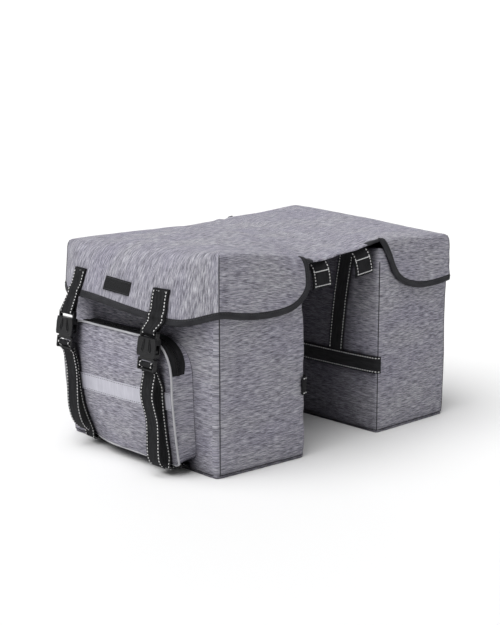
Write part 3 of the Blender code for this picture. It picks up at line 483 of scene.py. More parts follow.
def melange(name, seed=0.0, shade=1.0):
    """Heather cloth: short light and dark slubs along the weft, over a fine weave, with painted shade in creases and
    recessed gaps.
    """
    g = Graph(name)
    uv = g.uv()
    slub = g.noise(g.mapped(uv, (84, 930, 1), (seed, seed, 0)), 1.0, 2.0, 0.55)
    fine = g.noise(g.mapped(uv, (420, 2600, 1), (seed * 2, 3, 0)), 1.0, 1.0, 0.5)
    band = g.noise(g.mapped(uv, (32, 260, 1), (4, seed * 3, 0)), 1.0, 2.0, 0.6)
    cloud = g.noise(g.mapped(uv, (9, 16, 1), (seed, 9, 0)), 1.0, 2.0, 0.5)
    mixed = g.math("ADD", g.math("MULTIPLY", slub, 0.60), g.math("MULTIPLY", fine, 0.16))
    mixed = g.math("ADD", mixed, g.math("MULTIPLY", band, 0.24))
    d, m, l, w = (0.094, 0.091, 0.112), (0.228, 0.223, 0.256), (0.405, 0.398, 0.438), (0.66, 0.655, 0.695)
    d, m, l, w = (tuple(c * shade for c in k) for k in (d, m, l, w))
    col = g.ramp(mixed, [(0.34, d), (0.45, m), (0.54, l), (0.66, w)])
    tint = g.ramp(cloud, [(0.35, (0.88, 0.87, 0.93)), (0.65, (1.0, 1.0, 1.0))])
    col = g.mix(1.0, col, tint, "MULTIPLY")
    # painted shade: two occlusion masks darken the colour, one in small creases within 18 mm and one in recessed gaps
    # such as between the bags and under the flaps within 280 mm
    painted_crease_shade = g.ramp(g.occlusion(0.018), [(0.15, (0.45, 0.44, 0.47)), (0.60, (1.0, 1.0, 1.0))])
    painted_gap_shade = g.ramp(g.occlusion(0.28), [(0.12, (0.11, 0.105, 0.125)), (0.43, (1.0, 1.0, 1.0))])
    col = g.mix(1.0, g.mix(1.0, col, painted_crease_shade, "MULTIPLY"), painted_gap_shade, "MULTIPLY")
    u, v = g.split(uv)
    weave = g.math("MULTIPLY", g.math("SINE", g.math("MULTIPLY", u, 2 * math.pi / 0.0013)),
                   g.math("SINE", g.math("MULTIPLY", v, 2 * math.pi / 0.0011)))
    height = g.math("ADD", g.math("MULTIPLY", weave, 0.35), g.math("MULTIPLY", slub, 1.6))
    g.bump(height, 0.5, 0.0005)
    g.set(Base_Color=col, Roughness=0.9, Specular_IOR_Level=0.12)
    return g.mat


def webbing_material(name, colour=(0.008, 0.008, 0.009)):
    """Black twill webbing: fine diagonal ribs, a slightly worn face and firm edges."""
    g = Graph(name)
    uv = g.uv()
    u, v = g.split(uv)
    rib = g.math("SINE", g.math("MULTIPLY", g.math("ADD", u, g.math("ABSOLUTE", v)), 2 * math.pi / 0.0021))
    warp = g.math("SINE", g.math("MULTIPLY", v, 2 * math.pi / 0.0012))
    height = g.math("ADD", g.math("MULTIPLY", rib, 0.6), g.math("MULTIPLY", warp, 0.4))
    dust = g.noise(g.mapped(uv, (60, 300, 1)), 1.0, 3.0, 0.6)
    face = g.ramp(dust, [(0.35, colour), (0.75, tuple(c * 2.4 + 0.004 for c in colour))])
    # painted highlight: the rib crests are mixed a little towards pale grey
    painted_rib_highlight = g.math("MULTIPLY", g.math("ADD", rib, 1.0), 0.006)
    col = g.mix(painted_rib_highlight, face, (0.3, 0.3, 0.32))
    g.bump(height, 0.55, 0.0004)
    g.set(Base_Color=col, Roughness=0.8, Specular_IOR_Level=0.16)
    return g.mat


def binding_material(name):
    g = Graph(name)
    uv = g.uv()
    u, v = g.split(uv)
    rib = g.math("SINE", g.math("MULTIPLY", u, 2 * math.pi / 0.0010))
    wear = g.noise(g.mapped(uv, (40, 160, 1)), 1.0, 3.0, 0.6)
    col = g.ramp(wear, [(0.3, (0.020, 0.020, 0.023)), (0.7, (0.042, 0.042, 0.047))])
    g.bump(g.math("ADD", rib, g.math("MULTIPLY", wear, 0.8)), 0.4, 0.0003)
    g.set(Base_Color=col, Roughness=0.8, Specular_IOR_Level=0.2)
    return g.mat


def thread_material(name, colour):
    g = Graph(name)
    pos = g.position()
    fuzz = g.noise(pos, 900.0, 2.0, 0.6)
    col = g.ramp(fuzz, [(0.3, tuple(c * 0.78 for c in colour)), (0.7, colour)])
    g.bump(g.noise(pos, 2400.0, 1.0, 0.5), 0.4, 0.0002)
    g.set(Base_Color=col, Roughness=0.7)
    return g.mat


def plastic_material(name):
    """Moulded acetal: fine spark texture, soft edges, faint scuffs."""
    g = Graph(name)
    pos = g.position()
    grain = g.noise(pos, 1700.0, 2.0, 0.6)
    scuff = g.noise(g.mapped(pos, (60, 60, 260)), 1.0, 3.0, 0.6)
    rough = g.ramp(scuff, [(0.35, (0.26, 0.26, 0.26)), (0.7, (0.42, 0.42, 0.42))])
    col = g.ramp(scuff, [(0.4, (0.005, 0.005, 0.006)), (0.8, (0.012, 0.012, 0.013))])
    soft = g.node("ShaderNodeBevel", samples=6)
    soft.inputs["Radius"].default_value = 0.0006
    g.bump(grain, 0.12, 0.0002, soft.outputs[0])
    g.set(Base_Color=col, Roughness=rough, Specular_IOR_Level=0.32)
    return g.mat


def piping_material(name):
    g = Graph(name)
    uv = g.uv()
    u, v = g.split(uv)
    twist = g.math("SINE", g.math("MULTIPLY", g.math("ADD", u, g.math("MULTIPLY", v, 0.7)), 2 * math.pi / 0.0016))
    wear = g.noise(g.mapped(uv, (50, 200, 1)), 1.0, 3.0, 0.6)
    col = g.ramp(wear, [(0.3, (0.34, 0.34, 0.36)), (0.7, (0.50, 0.50, 0.52))])
    g.bump(twist, 0.35, 0.0003)
    g.set(Base_Color=col, Roughness=0.5, Sheen_Weight=0.1)
    return g.mat


def reflective_material(name):
    """Sewn-on reflective tape: a lavender grey film on cloth, lightly creased."""
    g = Graph(name)
    uv = g.uv()
    crease = g.noise(g.mapped(uv, (260, 34, 1)), 1.0, 2.0, 0.55)
    bead = g.noise(g.mapped(uv, (2200, 2200, 1)), 1.0, 1.0, 0.5)
    soil = g.noise(g.mapped(uv, (30, 60, 1)), 1.0, 3.0, 0.6)
    col = g.ramp(g.math("ADD", g.math("MULTIPLY", crease, 0.7), g.math("MULTIPLY", soil, 0.3)),
                 [(0.35, (0.47, 0.465, 0.53)), (0.65, (0.57, 0.565, 0.63))])
    g.bump(g.math("ADD", crease, g.math("MULTIPLY", bead, 0.25)), 0.3, 0.0006)
    g.set(Base_Color=col, Roughness=0.42, Metallic=0.12, Specular_IOR_Level=0.5)
    return g.mat


def label_material(name):
    g = Graph(name)
    uv = g.uv()
    u, v = g.split(uv)
    satin = g.math("MULTIPLY", g.math("SINE", g.math("MULTIPLY", u, 2 * math.pi / 0.0007)),
                   g.math("SINE", g.math("MULTIPLY", v, 2 * math.pi / 0.0005)))
    fuzz = g.noise(g.mapped(uv, (500, 700, 1)), 1.0, 2.0, 0.5)
    col = g.ramp(fuzz, [(0.3, (0.007, 0.007, 0.008)), (0.7, (0.018, 0.018, 0.020))])
    g.bump(satin, 0.4, 0.0002)
    g.set(Base_Color=col, Roughness=0.65, Specular_IOR_Level=0.2)
    return g.mat


def zip_material(name):
    g = Graph(name)
    uv = g.uv()
    u, v = g.split(uv)
    rib = g.math("SINE", g.math("MULTIPLY", v, 2 * math.pi / 0.0012))
    wear = g.noise(g.mapped(uv, (70, 260, 1)), 1.0, 2.0, 0.5)
    col = g.ramp(wear, [(0.3, (0.008, 0.008, 0.009)), (0.7, (0.018, 0.018, 0.020))])
    g.bump(g.math("ADD", rib, g.math("MULTIPLY", wear, 0.5)), 0.4, 0.0002)
    g.set(Base_Color=col, Roughness=0.8, Specular_IOR_Level=0.16)
    return g.mat


def metal_material(name):
    g = Graph(name)
    pos = g.position()
    scuff = g.noise(pos, 400.0, 3.0, 0.6)
    rough = g.ramp(scuff, [(0.35, (0.28, 0.28, 0.28)), (0.7, (0.5, 0.5, 0.5))])
    col = g.ramp(scuff, [(0.4, (0.03, 0.03, 0.032)), (0.8, (0.10, 0.10, 0.105))])
    g.set(Base_Color=col, Roughness=rough, Metallic=0.8)
    g.bump(scuff, 0.15, 0.0002)
    return g.mat


CLOTH_COVER = melange("cover_cloth", 0.0, 1.0)
CLOTH_BODY = melange("bag_cloth", 2.3, 0.97)
CLOTH_POCKET = melange("pocket_cloth", 5.1, 1.0)
BINDING = binding_material("hem_tape")
WEB = webbing_material("black_webbing")
THREAD = thread_material("white_thread", (0.80, 0.80, 0.80))
DARK_THREAD = thread_material("dark_thread", (0.035, 0.035, 0.04))
PLASTIC = plastic_material("moulded_plastic")
PIPE = piping_material("pale_piping")
REFLECT = reflective_material("reflective_film")
LABEL_MAT = label_material("label_weave")
ZIP = zip_material("zip_cloth")
METAL = metal_material("dark_metal")


# ------------------------------------------------------------ mesh helpers
def finish_piece(obj, slot, *nodes):
    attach(obj, ROOT)
    if nodes:
        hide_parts(*nodes)
    return obj


def new_object(name, mesh, mat, smooth=True):
    mesh.materials.clear()
    mesh.materials.append(mat)
    if smooth:
        mesh.shade_smooth()
    obj = bpy.data.objects.new(name, mesh)
    bpy.context.scene.collection.objects.link(obj)
    return obj


def mesh_from(name, verts, faces, uvs=None):
    mesh = bpy.data.meshes.new(name)
    mesh.from_pydata([tuple(map(float, v)) for v in verts], [], [tuple(int(i) for i in f) for f in faces])
    layer = mesh.uv_layers.new(name="UVMap")
    if uvs is not None:
        flat = np.array([c for f in uvs for c in f], dtype=np.float32).reshape(-1)
        layer.data.foreach_set("uv", flat)
    return mesh


def baked(obj):
    """Mesh of an object with its modifiers applied; the object goes."""
    bpy.context.view_layer.update()
    dg = bpy.context.evaluated_depsgraph_get()
    mesh = bpy.data.meshes.new_from_object(obj.evaluated_get(dg))
    bpy.data.objects.remove(obj, do_unlink=True)
    return mesh


def subdivided(mesh, levels, creases=None):
    if creases:
        att = mesh.attributes.new("crease_edge", "FLOAT", "EDGE")
        vals = np.zeros(len(mesh.edges), dtype=np.float32)
        for k, e in enumerate(mesh.edges):
            vals[k] = creases.get((min(e.vertices), max(e.vertices)), 0.0)
        att.data.foreach_set("value", vals)
    obj = bpy.data.objects.new("work", mesh)
    bpy.context.scene.collection.objects.link(obj)
    m = obj.modifiers.new("s", "SUBSURF")
    m.levels = m.render_levels = levels
    return baked(obj)


def coords(mesh):
    a = np.empty(len(mesh.vertices) * 3, dtype=np.float32)
    mesh.vertices.foreach_get("co", a)
    return a.reshape(-1, 3).astype(float)


def normals(mesh):
    a = np.empty(len(mesh.vertices) * 3, dtype=np.float32)
    mesh.vertices.foreach_get("normal", a)
    return a.reshape(-1, 3).astype(float)


def put(mesh, pts):
    mesh.vertices.foreach_set("co", np.asarray(pts, dtype=np.float32).reshape(-1))
    mesh.update()


def tree_of(mesh):
    return BVHTree.FromPolygons([tuple(v) for v in coords(mesh)], [tuple(p.vertices) for p in mesh.polygons])


def solidified(mesh, thickness):
    obj = bpy.data.objects.new("work", mesh)
    bpy.context.scene.collection.objects.link(obj)
    m = obj.modifiers.new("t", "SOLIDIFY")
    m.thickness = thickness
    m.offset = -1.0
    return baked(obj)


def resample(points, step):
    """Smooth curve through points, at even steps of length."""
    p = np.array(points, dtype=float)
    ext = np.vstack([2 * p[0] - p[1], p, 2 * p[-1] - p[-2]])
    fine = []
    for k in range(1, len(ext) - 2):
        a, b, c, d = ext[k - 1:k + 3]
        for t in np.linspace(0, 1, 12, endpoint=False):
            fine.append(0.5 * (2 * b + (c - a) * t + (2 * a - 5 * b + 4 * c - d) * t * t
                               + (3 * b - a - 3 * c + d) * t ** 3))
    fine.append(p[-1])
    fine = np.array(fine)
    s = np.concatenate([[0], np.cumsum(np.linalg.norm(np.diff(fine, axis=0), axis=1))])
    n = max(2, int(round(s[-1] / step)) + 1)
    at = np.linspace(0, s[-1], n)
    return np.stack([np.interp(at, s, fine[:, c]) for c in range(fine.shape[1])], axis=1), at


def unit(v):
    v = np.asarray(v, dtype=float)
    return v / np.maximum(np.linalg.norm(v, axis=-1, keepdims=True), 1e-12)


def lofted(name, sections, mat, closed=False, caps=True):
    """Skin through sections of equal size; u runs along it, v round it."""
    sec = np.array(sections, dtype=float)
    m, n = sec.shape[:2]
    mid = sec.mean(axis=1)
    along = np.concatenate([[0], np.cumsum(np.linalg.norm(np.diff(mid, axis=0), axis=1))])
    if closed:
        along = np.concatenate([along, [along[-1] + np.linalg.norm(mid[0] - mid[-1])]])
    ring = np.linalg.norm(np.diff(np.vstack([sec[0], sec[0][:1]]), axis=0), axis=1)
    round_ = np.concatenate([[0], np.cumsum(ring)])
    faces, uvs = [], []
    for i in range(m if closed else m - 1):
        a, b = i * n, ((i + 1) % m) * n
        for k in range(n):
            k2 = (k + 1) % n
            faces.append((a + k, a + k2, b + k2, b + k))
            uvs.append([(along[i], round_[k]), (along[i], round_[k + 1]),
                        (along[i + 1], round_[k + 1]), (along[i + 1], round_[k])])
    if not closed and caps:
        faces.append(tuple(range(n - 1, -1, -1)))
        uvs.append([(0, 0)] * n)
        faces.append(tuple((m - 1) * n + k for k in range(n)))
        uvs.append([(along[-1], 0)] * n)
    mesh = mesh_from(name, sec.reshape(-1, 3), faces, uvs)
    bm = bmesh.new()
    bm.from_mesh(mesh)
    bmesh.ops.recalc_face_normals(bm, faces=bm.faces)
    if bm.calc_volume(signed=True) < 0:
        bmesh.ops.reverse_faces(bm, faces=bm.faces)
    bm.to_mesh(mesh)
    bm.free()
    obj = new_object(name, mesh, mat)
    mesh.set_sharp_from_angle(angle=math.radians(50))
    return obj


def tube(name, points, radius, mat, closed=False, step=0.004, sides=8):
    pts, _ = resample(list(points) + ([points[0]] if closed else []), step)
    if closed:
        pts = pts[:-1]
    t = unit(np.roll(pts, -1, 0) - np.roll(pts, 1, 0)) if closed else unit(np.gradient(pts, axis=0))
    ref = np.array([0.31, 0.22, 0.93])
    a = unit(np.cross(t, ref))
    b = np.cross(t, a)
    ang = np.arange(sides) * 2 * math.pi / sides
    sec = pts[:, None, :] + radius * (np.cos(ang)[None, :, None] * a[:, None, :] + np.sin(ang)[None, :, None] * b[:, None, :])
    return lofted(name, sec, mat, closed)


def stitch_mesh(places, length, radius):
    """Rows of short raised stitches: places are (point, along, out)."""
    if not places:
        return None
    p = np.array([q[0] for q in places])
    t = unit(np.array([q[1] for q in places]))
    n = unit(np.array([q[2] for q in places]))
    w = np.cross(t, n)
    stations = ((-0.5, 0.35), (-0.38, 0.85), (0.0, 1.0), (0.38, 0.85), (0.5, 0.35))
    sides = 6
    base, faces = [], []
    for s, r in stations:
        for k in range(sides):
            a = 2 * math.pi * k / sides
            base.append((s * length, math.cos(a) * radius * r, math.sin(a) * radius * r))
    for i in range(len(stations) - 1):
        for k in range(sides):
            k2 = (k + 1) % sides
            faces.append((i * sides + k, i * sides + k2, (i + 1) * sides + k2, (i + 1) * sides + k))
    faces.append(tuple(range(sides - 1, -1, -1)))
    faces.append(tuple((len(stations) - 1) * sides + k for k in range(sides)))
    base = np.array(base)
    arch = -1.1 * radius * (np.abs(base[:, 0]) / (length / 2)) ** 2
    verts = (p[:, None, :] + base[None, :, 0:1] * t[:, None, :] + base[None, :, 1:2] * w[:, None, :]
             + (base[None, :, 2:3] + arch[None, :, None]) * n[:, None, :])
    count = len(base)
    all_faces = [tuple(i + q * count for i in f) for q in range(len(p)) for f in faces]
    return verts.reshape(-1, 3), all_faces


def stitches(name, places, mat, length=0.0032, radius=0.00078):
    verts, faces = stitch_mesh(places, length, radius)
    obj = new_object(name, mesh_from(name, verts, faces, [[(0, 0)] * len(f) for f in faces]), mat)
    return finish_piece(obj, "webbing")


# ------------------------------------------------------------ the continuous cover
def build_cover():
    verts, faces, uvs = [], [], []
    index = {}

    def vert(key, point):
        if key not in index:
            index[key] = len(verts)
            verts.append(np.array(point, dtype=float))
        return index[key]

    ys = [r[0] * MM for r in TOP_ROWS]
    xs = [c * MM for c in COVER_X]
    for j, y in enumerate(ys):
        for i, x in enumerate(xs):
            vert(("top", i, j), (x, y, cover_top(x, y)))
    for j in range(len(ys) - 1):
        for i in range(len(xs) - 1):
            faces.append((index[("top", i, j)], index[("top", i + 1, j)],
                          index[("top", i + 1, j + 1)], index[("top", i, j + 1)]))
            uvs.append([(ys[j], xs[i]), (ys[j], xs[i + 1]), (ys[j + 1], xs[i + 1]), (ys[j + 1], xs[i])])
    creases = {}
    hems, seams = {}, []
    last_i, last_j = len(xs) - 1, len(ys) - 1
    for side in ("near", "far"):
        sgn = 1.0 if side == "near" else -1.0

        def key(i, j):
            return ("top", i, j) if side == "near" else ("top", last_i - i, last_j - j)

        cols = []
        for col in range(len(FLAP_COLS) - 1, -1, -1):
            cols.append(("end", (1, col), key(last_i, col)))
        cols.append(("corner", 1, key(last_i, 0)))
        for i in range(last_i, -1, -1):
            cols.append(("front", i, key(i, 0)))
        cols.append(("corner", -1, key(0, 0)))
        for col in range(len(FLAP_COLS)):
            cols.append(("end", (-1, col), key(0, col)))
        grid = []
        for kind, idx, base in cols:
            pts = turned(flap_column(side, kind, idx), side)
            ids = [index[base]] + [vert((side, kind, idx, r), pts[r]) for r in range(1, 6)]
            run = [0.0]
            for r in range(1, 6):
                run.append(run[-1] + float(np.linalg.norm(verts[ids[r]] - verts[ids[r - 1]])))
            grid.append((kind, idx, ids, run))
        for a, b in zip(grid, grid[1:]):
            as_end = a[0] == "end" or b[0] == "end"
            sx = (a[1][0] if a[0] == "end" else b[1][0]) * sgn if as_end else 0

            def uv_of(c, r):
                p = verts[c[2][r]]
                top = verts[c[2][0]]
                if as_end:
                    return (p[1], top[0] + sx * c[3][r])
                return (top[1] - sgn * c[3][r], p[0])

            for r in range(5):
                quad = [(a, r), (b, r), (b, r + 1), (a, r + 1)]
                if a[2][r] == b[2][r]:
                    quad = [(a, r), (b, r + 1), (a, r + 1)]
                faces.append(tuple(reversed([c[2][q] for c, q in quad])))
                uvs.append(list(reversed([uv_of(c, q) for c, q in quad])))
        for c in grid:
            if c[0] == "corner":
                for r in range(1, 5):
                    creases[tuple(sorted((c[2][r], c[2][r + 1])))] = 0.75
        hems[side] = [verts[c[2][5]] for c in grid]
        seams.append([side, [c[2] for c in grid if c[0] == "corner"]])
    # outward test on one flap face
    n_top = (len(xs) - 1) * (len(ys) - 1)
    a, b, c = (verts[k] for k in faces[n_top][:3])
    if np.cross(b - a, c - a)[0] < 0:
        faces = faces[:n_top] + [tuple(reversed(f)) for f in faces[n_top:]]
        uvs = uvs[:n_top] + [list(reversed(f)) for f in uvs[n_top:]]
    mesh = mesh_from("cover", verts, faces, uvs)
    mesh = subdivided(mesh, 3, creases)
    p, n = coords(mesh), normals(mesh)
    flap = ease(-p[:, 2], -0.285, -0.265)              # 1 on the flaps
    low = ease(-p[:, 2], -0.246, -0.218)
    d = 0.0011 * value_noise(p, 0.060, 1) + 0.0005 * value_noise(p, 0.026, 2) + 0.00025 * value_noise(p, 0.013, 3)
    # small puckers where the tape draws the hem in
    along = np.stack([p[:, 0], p[:, 1], p[:, 2] * 0.2], axis=1)
    d += low * 0.0010 * value_noise(along, 0.017, 4)
    # puckers either side of the corner seams
    cx, cy = np.abs(p[:, 0]) - (HX + 0.0022), np.abs(p[:, 1]) - (Y_OUT + 0.0022)
    near_seam = np.exp(-((cx ** 2 + cy ** 2) ** 0.5 / 0.016) ** 2) * flap
    up = np.stack([p[:, 2], np.sign(p[:, 0]) * 0.3, np.sign(p[:, 1]) * 0.3], axis=1)
    d += near_seam * 0.0010 * value_noise(up, 0.011, 5)
    # cross-wise creases in the slack bridge
    bridge = np.exp(-(np.abs(p[:, 1]) / 0.062) ** 4)
    wave = np.stack([p[:, 0] * 0.45, p[:, 1], p[:, 2] * 0], axis=1)
    d += bridge * 0.0016 * value_noise(wave, 0.030, 6)
    # two soft crests where the sheet leaves each bag for the bridge
    first, second = -0.052, np.interp(p[:, 0], (-0.125, -0.030, 0.060), (0.055, 0.045, 0.024))
    flat_top = 1 - flap
    for line, fade, high in ((first, 1 - ease(p[:, 0], 0.015, 0.065), 0.0017), (second, 1 - ease(p[:, 0], 0.070, 0.120), 0.0019)):
        off = p[:, 1] - line + 0.0015 * value_noise(np.stack([p[:, 0], p[:, 0] * 0, p[:, 0] * 0], axis=1), 0.040, 8)
        d += flat_top * fade * high * (np.exp(-(off / 0.0075) ** 2) - 0.9 * np.exp(-((off - 0.014) / 0.009) ** 2))
    put(mesh, p + n * d[:, None])
    return mesh


# ------------------------------------------------------------ bags
def fine_ring():
    rx, ry = CORNER_R / HX, CORNER_R / (BAG_D / 2)
    pts = []
    long_side = (0.84, 0.70, 0.56, 0.42, 0.28, 0.14, 0.0)
    long_side = list(long_side) + [-v for v in reversed(long_side[:-1])]
    short = [0.76, 0.5, 0.25, 0.0, -0.25, -0.5, -0.76]
    for cx, cy, a0 in ((1, -1, -90), (1, 1, 0), (-1, 1, 90), (-1, -1, 180)):
        for k in range(3):
            a = math.radians(a0 + 45 * k)
            pts.append((cx * (1 - rx) + rx * math.cos(a), cy * (1 - ry) + ry * math.sin(a)))
        pts += {(1, -1): [(1, -v) for v in short], (1, 1): [(v, 1) for v in long_side],
                (-1, 1): [(-1, v) for v in short], (-1, -1): [(-v, -1) for v in long_side]}[(cx, cy)]
    return pts


def build_body(side):
    ring = fine_ring()
    n = len(ring)
    levels = [0.0, 0.0015, 0.006, 0.018, 0.036, 0.056, 0.080, 0.106, 0.132, 0.160, 0.188, 0.214, 0.240]
    rows = [[body_point(side, u, v, z) for u, v in ring] for z in levels]
    rim, lip = [], []
    for u, v in ring:
        p = body_point(side, u, v, 0.285)
        w = turned([p], side)[0]
        p[2] = cover_top(w[0], w[1]) - 0.0135
        q = body_point(side, u * 0.978, v * 0.955, 0.285)
        q[2] = p[2] - 0.0005
        r = q.copy()
        r[2] -= 0.014
        rim.append(p)
        lip.append((q, r))
    rows += [rim, [q for q, _ in lip], [r for _, r in lip]]
    # floor: rings drawn in to the middle
    mid = np.array([0, -(Y_OUT + Y_IN) / 2, 0.0])
    floor = []
    for s in (0.985, 0.86, 0.55, 0.22):
        floor.append([mid + (p - mid) * np.array([s, s, 1.0]) for p in rows[0]])
    all_rows = floor[::-1] + rows
    verts = [p for row in all_rows for p in row]
    faces, uvs = [], []
    closed = rows[4] + [rows[4][0]]
    run = np.concatenate([[0], np.cumsum([np.linalg.norm(np.array(b) - np.array(a)) for a, b in zip(closed, closed[1:])])])
    heights = [-0.2, -0.15, -0.08, -0.03] + levels + [0.285, 0.292, 0.306]
    for i in range(len(all_rows) - 1):
        for k in range(n):
            a, b = i * n + k, i * n + (k + 1) % n
            faces.append((a, b, b + n, a + n))
            uvs.append([(run[k], heights[i]), (run[k + 1], heights[i]), (run[k + 1], heights[i + 1]), (run[k], heights[i + 1])])
    verts.append(mid)
    for k in range(n):
        faces.append((k, len(verts) - 1, (k + 1) % n))
        uvs.append([(run[k], -0.2), (run[k], -0.28), (run[k + 1], -0.2)])
    world = turned(verts, side)
    creases = {}
    base = 4 * n
    for k in range(n):
        creases[tuple(sorted((base + k, base + (k + 1) % n)))] = 0.6
    mesh = subdivided(mesh_from("bag", world, faces, uvs), 2, creases)
    p, nn = coords(mesh), normals(mesh)
    local = turned(p, side)
    yc = -(Y_OUT + Y_IN) / 2
    cx = HX - np.abs(local[:, 0])
    cy = BAG_D / 2 - np.abs(local[:, 1] - yc)
    wall = ease(p[:, 2], 0.002, 0.012)
    d = wall * (0.0010 * value_noise(p, 0.070, 11) + 0.0006 * value_noise(p, 0.030, 12) + 0.0002 * value_noise(p, 0.012, 13))
    corner = np.exp(-(np.hypot(np.maximum(cx, 0), np.maximum(cy, 0)) / 0.017) ** 2)
    quad = np.stack([p[:, 2], np.sign(p[:, 0]) * 0.3, np.sign(p[:, 1]) * 0.3], axis=1)
    d += corner * wall * 0.0011 * value_noise(quad, 0.013, 14)
    foot = np.exp(-((p[:, 2] - 0.004) / 0.016) ** 2) * wall
    d += foot * 0.0010 * value_noise(np.stack([p[:, 0], p[:, 1], p[:, 2] * 0], axis=1), 0.018, 15)
    # folds that run up from the lower corners
    fan = np.exp(-(np.hypot(np.maximum(cx, 0), np.maximum(cy, 0)) / 0.045) ** 2) * np.exp(-(p[:, 2] / 0.045) ** 2) * wall
    slant = np.stack([p[:, 2] + np.minimum(cx, cy) * 0.8, np.sign(p[:, 0]) * 0.3, np.sign(p[:, 1]) * 0.3], axis=1)
    d += fan * 0.0013 * value_noise(slant, 0.014, 16)
    floor_part = p[:, 2] < 0.0012
    d[floor_part] = 0.0
    p2 = p + nn * d[:, None]
    p2[:, 2] = np.maximum(p2[:, 2], 0.0)
    put(mesh, p2)
    return mesh


# ------------------------------------------------------------ pockets
def build_pocket(side):
    back = pocket_outline(0.003, 0.006)
    front = pocket_outline()
    n = len(front)
    rings, shares = [], (0.0, 0.22, 0.5, 0.78, 1.0)
    for s in shares:
        ring = []
        for (xb, zb), (xf, zf) in zip(back, front):
            yb = front_face(xb, zb) - CLEAR - 0.0004
            yf = pocket_front(max(-0.118, min(0.118, xf)), zf)
            p, q = np.array([xb, yb, zb]), np.array([xf, yf, zf])
            w = p + (q - p) * s
            # the gusset caves in a little between wall and piping
            mid = math.sin(math.pi * s) * 0.0022
            c = np.array([0.0, w[1], 0.100])
            w = w - unit(w - c) * mid
            ring.append(w)
        rings.append(ring)
    edge = rings[-1]
    cx, cz = 0.0, 0.100
    for s in (0.965, 0.86, 0.68, 0.46, 0.22):
        ring = []
        for p in edge:
            x, z = cx + (p[0] - cx) * s, cz + (p[2] - cz) * s
            ring.append(np.array([x, pocket_front(x, z), z]))
        rings.append(ring)
    pts = [p for r in rings for p in r] + [np.array([cx, pocket_front(cx, cz), cz])]
    run = [0.0]
    closed = edge + [edge[0]]
    for a, b in zip(closed, closed[1:]):
        run.append(run[-1] + float(np.linalg.norm(b - a)))
    faces, uvs = [], []
    for i in range(len(rings) - 1):
        for k in range(n):
            a, b = i * n + k, i * n + (k + 1) % n
            quad = (a, b, b + n, a + n)
            faces.append(quad)
            if i < len(shares) - 1:
                s0, s1 = shares[i] * 0.030, shares[i + 1] * 0.030
                uvs.append([(s0, run[k]), (s0, run[k + 1]), (s1, run[k + 1]), (s1, run[k])])
            else:
                uvs.append([(pts[q][0], pts[q][2]) for q in quad])
    c = len(pts) - 1
    base = (len(rings) - 1) * n
    for k in range(n):
        tri = (base + k, base + (k + 1) % n, c)
        faces.append(tri)
        uvs.append([(pts[q][0], pts[q][2]) for q in tri])
    creases = {}
    row = (len(shares) - 1) * n
    for k in range(n):
        creases[tuple(sorted((row + k, row + (k + 1) % n)))] = 0.85
    local = np.array(pts)
    world = turned(local, side)
    # outward faces: the panel looks away from the bag
    a, b, c3 = (world[i] for i in faces[-1])
    out = np.cross(b - a, c3 - a)[1] * (1 if side == "far" else -1)
    if out < 0:
        faces = [tuple(reversed(f)) for f in faces]
        uvs = [list(reversed(u)) for u in uvs]
    mesh = subdivided(mesh_from("pocket", world, faces, uvs), 2, creases)
    p, nn = coords(mesh), normals(mesh)
    q = turned(p, side)
    front_part = ease(-nn[:, 1] * (1 if side == "near" else -1), 0.3, 0.8)
    edge_x = POCKET_HALF - np.abs(q[:, 0])
    edge_z = np.minimum(q[:, 2] - POCKET_Z[0], POCKET_Z[1] - q[:, 2])
    inner = ease(np.minimum(edge_x, edge_z), 0.0, 0.012)
    d = 0.0014 * value_noise(p, 0.055, 21) * (0.35 + 0.65 * inner) + 0.0006 * value_noise(p, 0.024, 22)
    d += 0.0002 * value_noise(p, 0.011, 23)
    # puckers drawn by the piping seam
    rim = np.exp(-(np.minimum(edge_x, edge_z) / 0.010) ** 2) * front_part
    d += rim * 0.0009 * value_noise(np.stack([p[:, 0], p[:, 2], p[:, 1] * 0], axis=1), 0.013, 24)
    wall = ease(-q[:, 1], Y_OUT + 0.006, Y_OUT + 0.02)
    d += (1 - front_part) * wall * 0.0010 * value_noise(np.stack([p[:, 0] * 0.2, p[:, 1] * 0.4, p[:, 2]], axis=1), 0.022, 25)
    put(mesh, p + nn * d[:, None])
    return mesh


# ------------------------------------------------------------ straps
def strap(name, path, wide, out, half, thick, mat, shift=None, across=9):
    """Flat webbing with firm rounded edges along a path."""
    p, w, n = np.array(path), np.array(wide), np.array(out)
    ss = list(np.linspace(-0.94, 0.94, across))
    top = [(-1.0, 0.12)] + [(-0.985, 0.42)] + [(s, 0.5) for s in ss] + [(0.985, 0.42), (1.0, 0.12)]
    prof = top + [(s, -h) for s, h in reversed(top)]
    sec = []
    for k in range(len(p)):
        row = []
        for s, h in prof:
            q = p[k] + w[k] * s * half + n[k] * h * thick
            if shift is not None:
                lo, hi = shift[k]
                q = q + np.array([0.0, (hi if s > 0 else lo) * s * s, 0.0])
            row.append(q)
        sec.append(row)
    obj = lofted(name, sec, mat)
    me = obj.data
    return obj


def yz_frames(path):
    """Width and outward directions of a strap that bends in the Y-Z plane."""
    t = unit(np.gradient(np.array(path), axis=0))
    n = np.stack([np.zeros(len(t)), -t[:, 2], t[:, 1]], axis=1)
    return np.tile(np.array([1.0, 0, 0]), (len(t), 1)), -unit(n), t


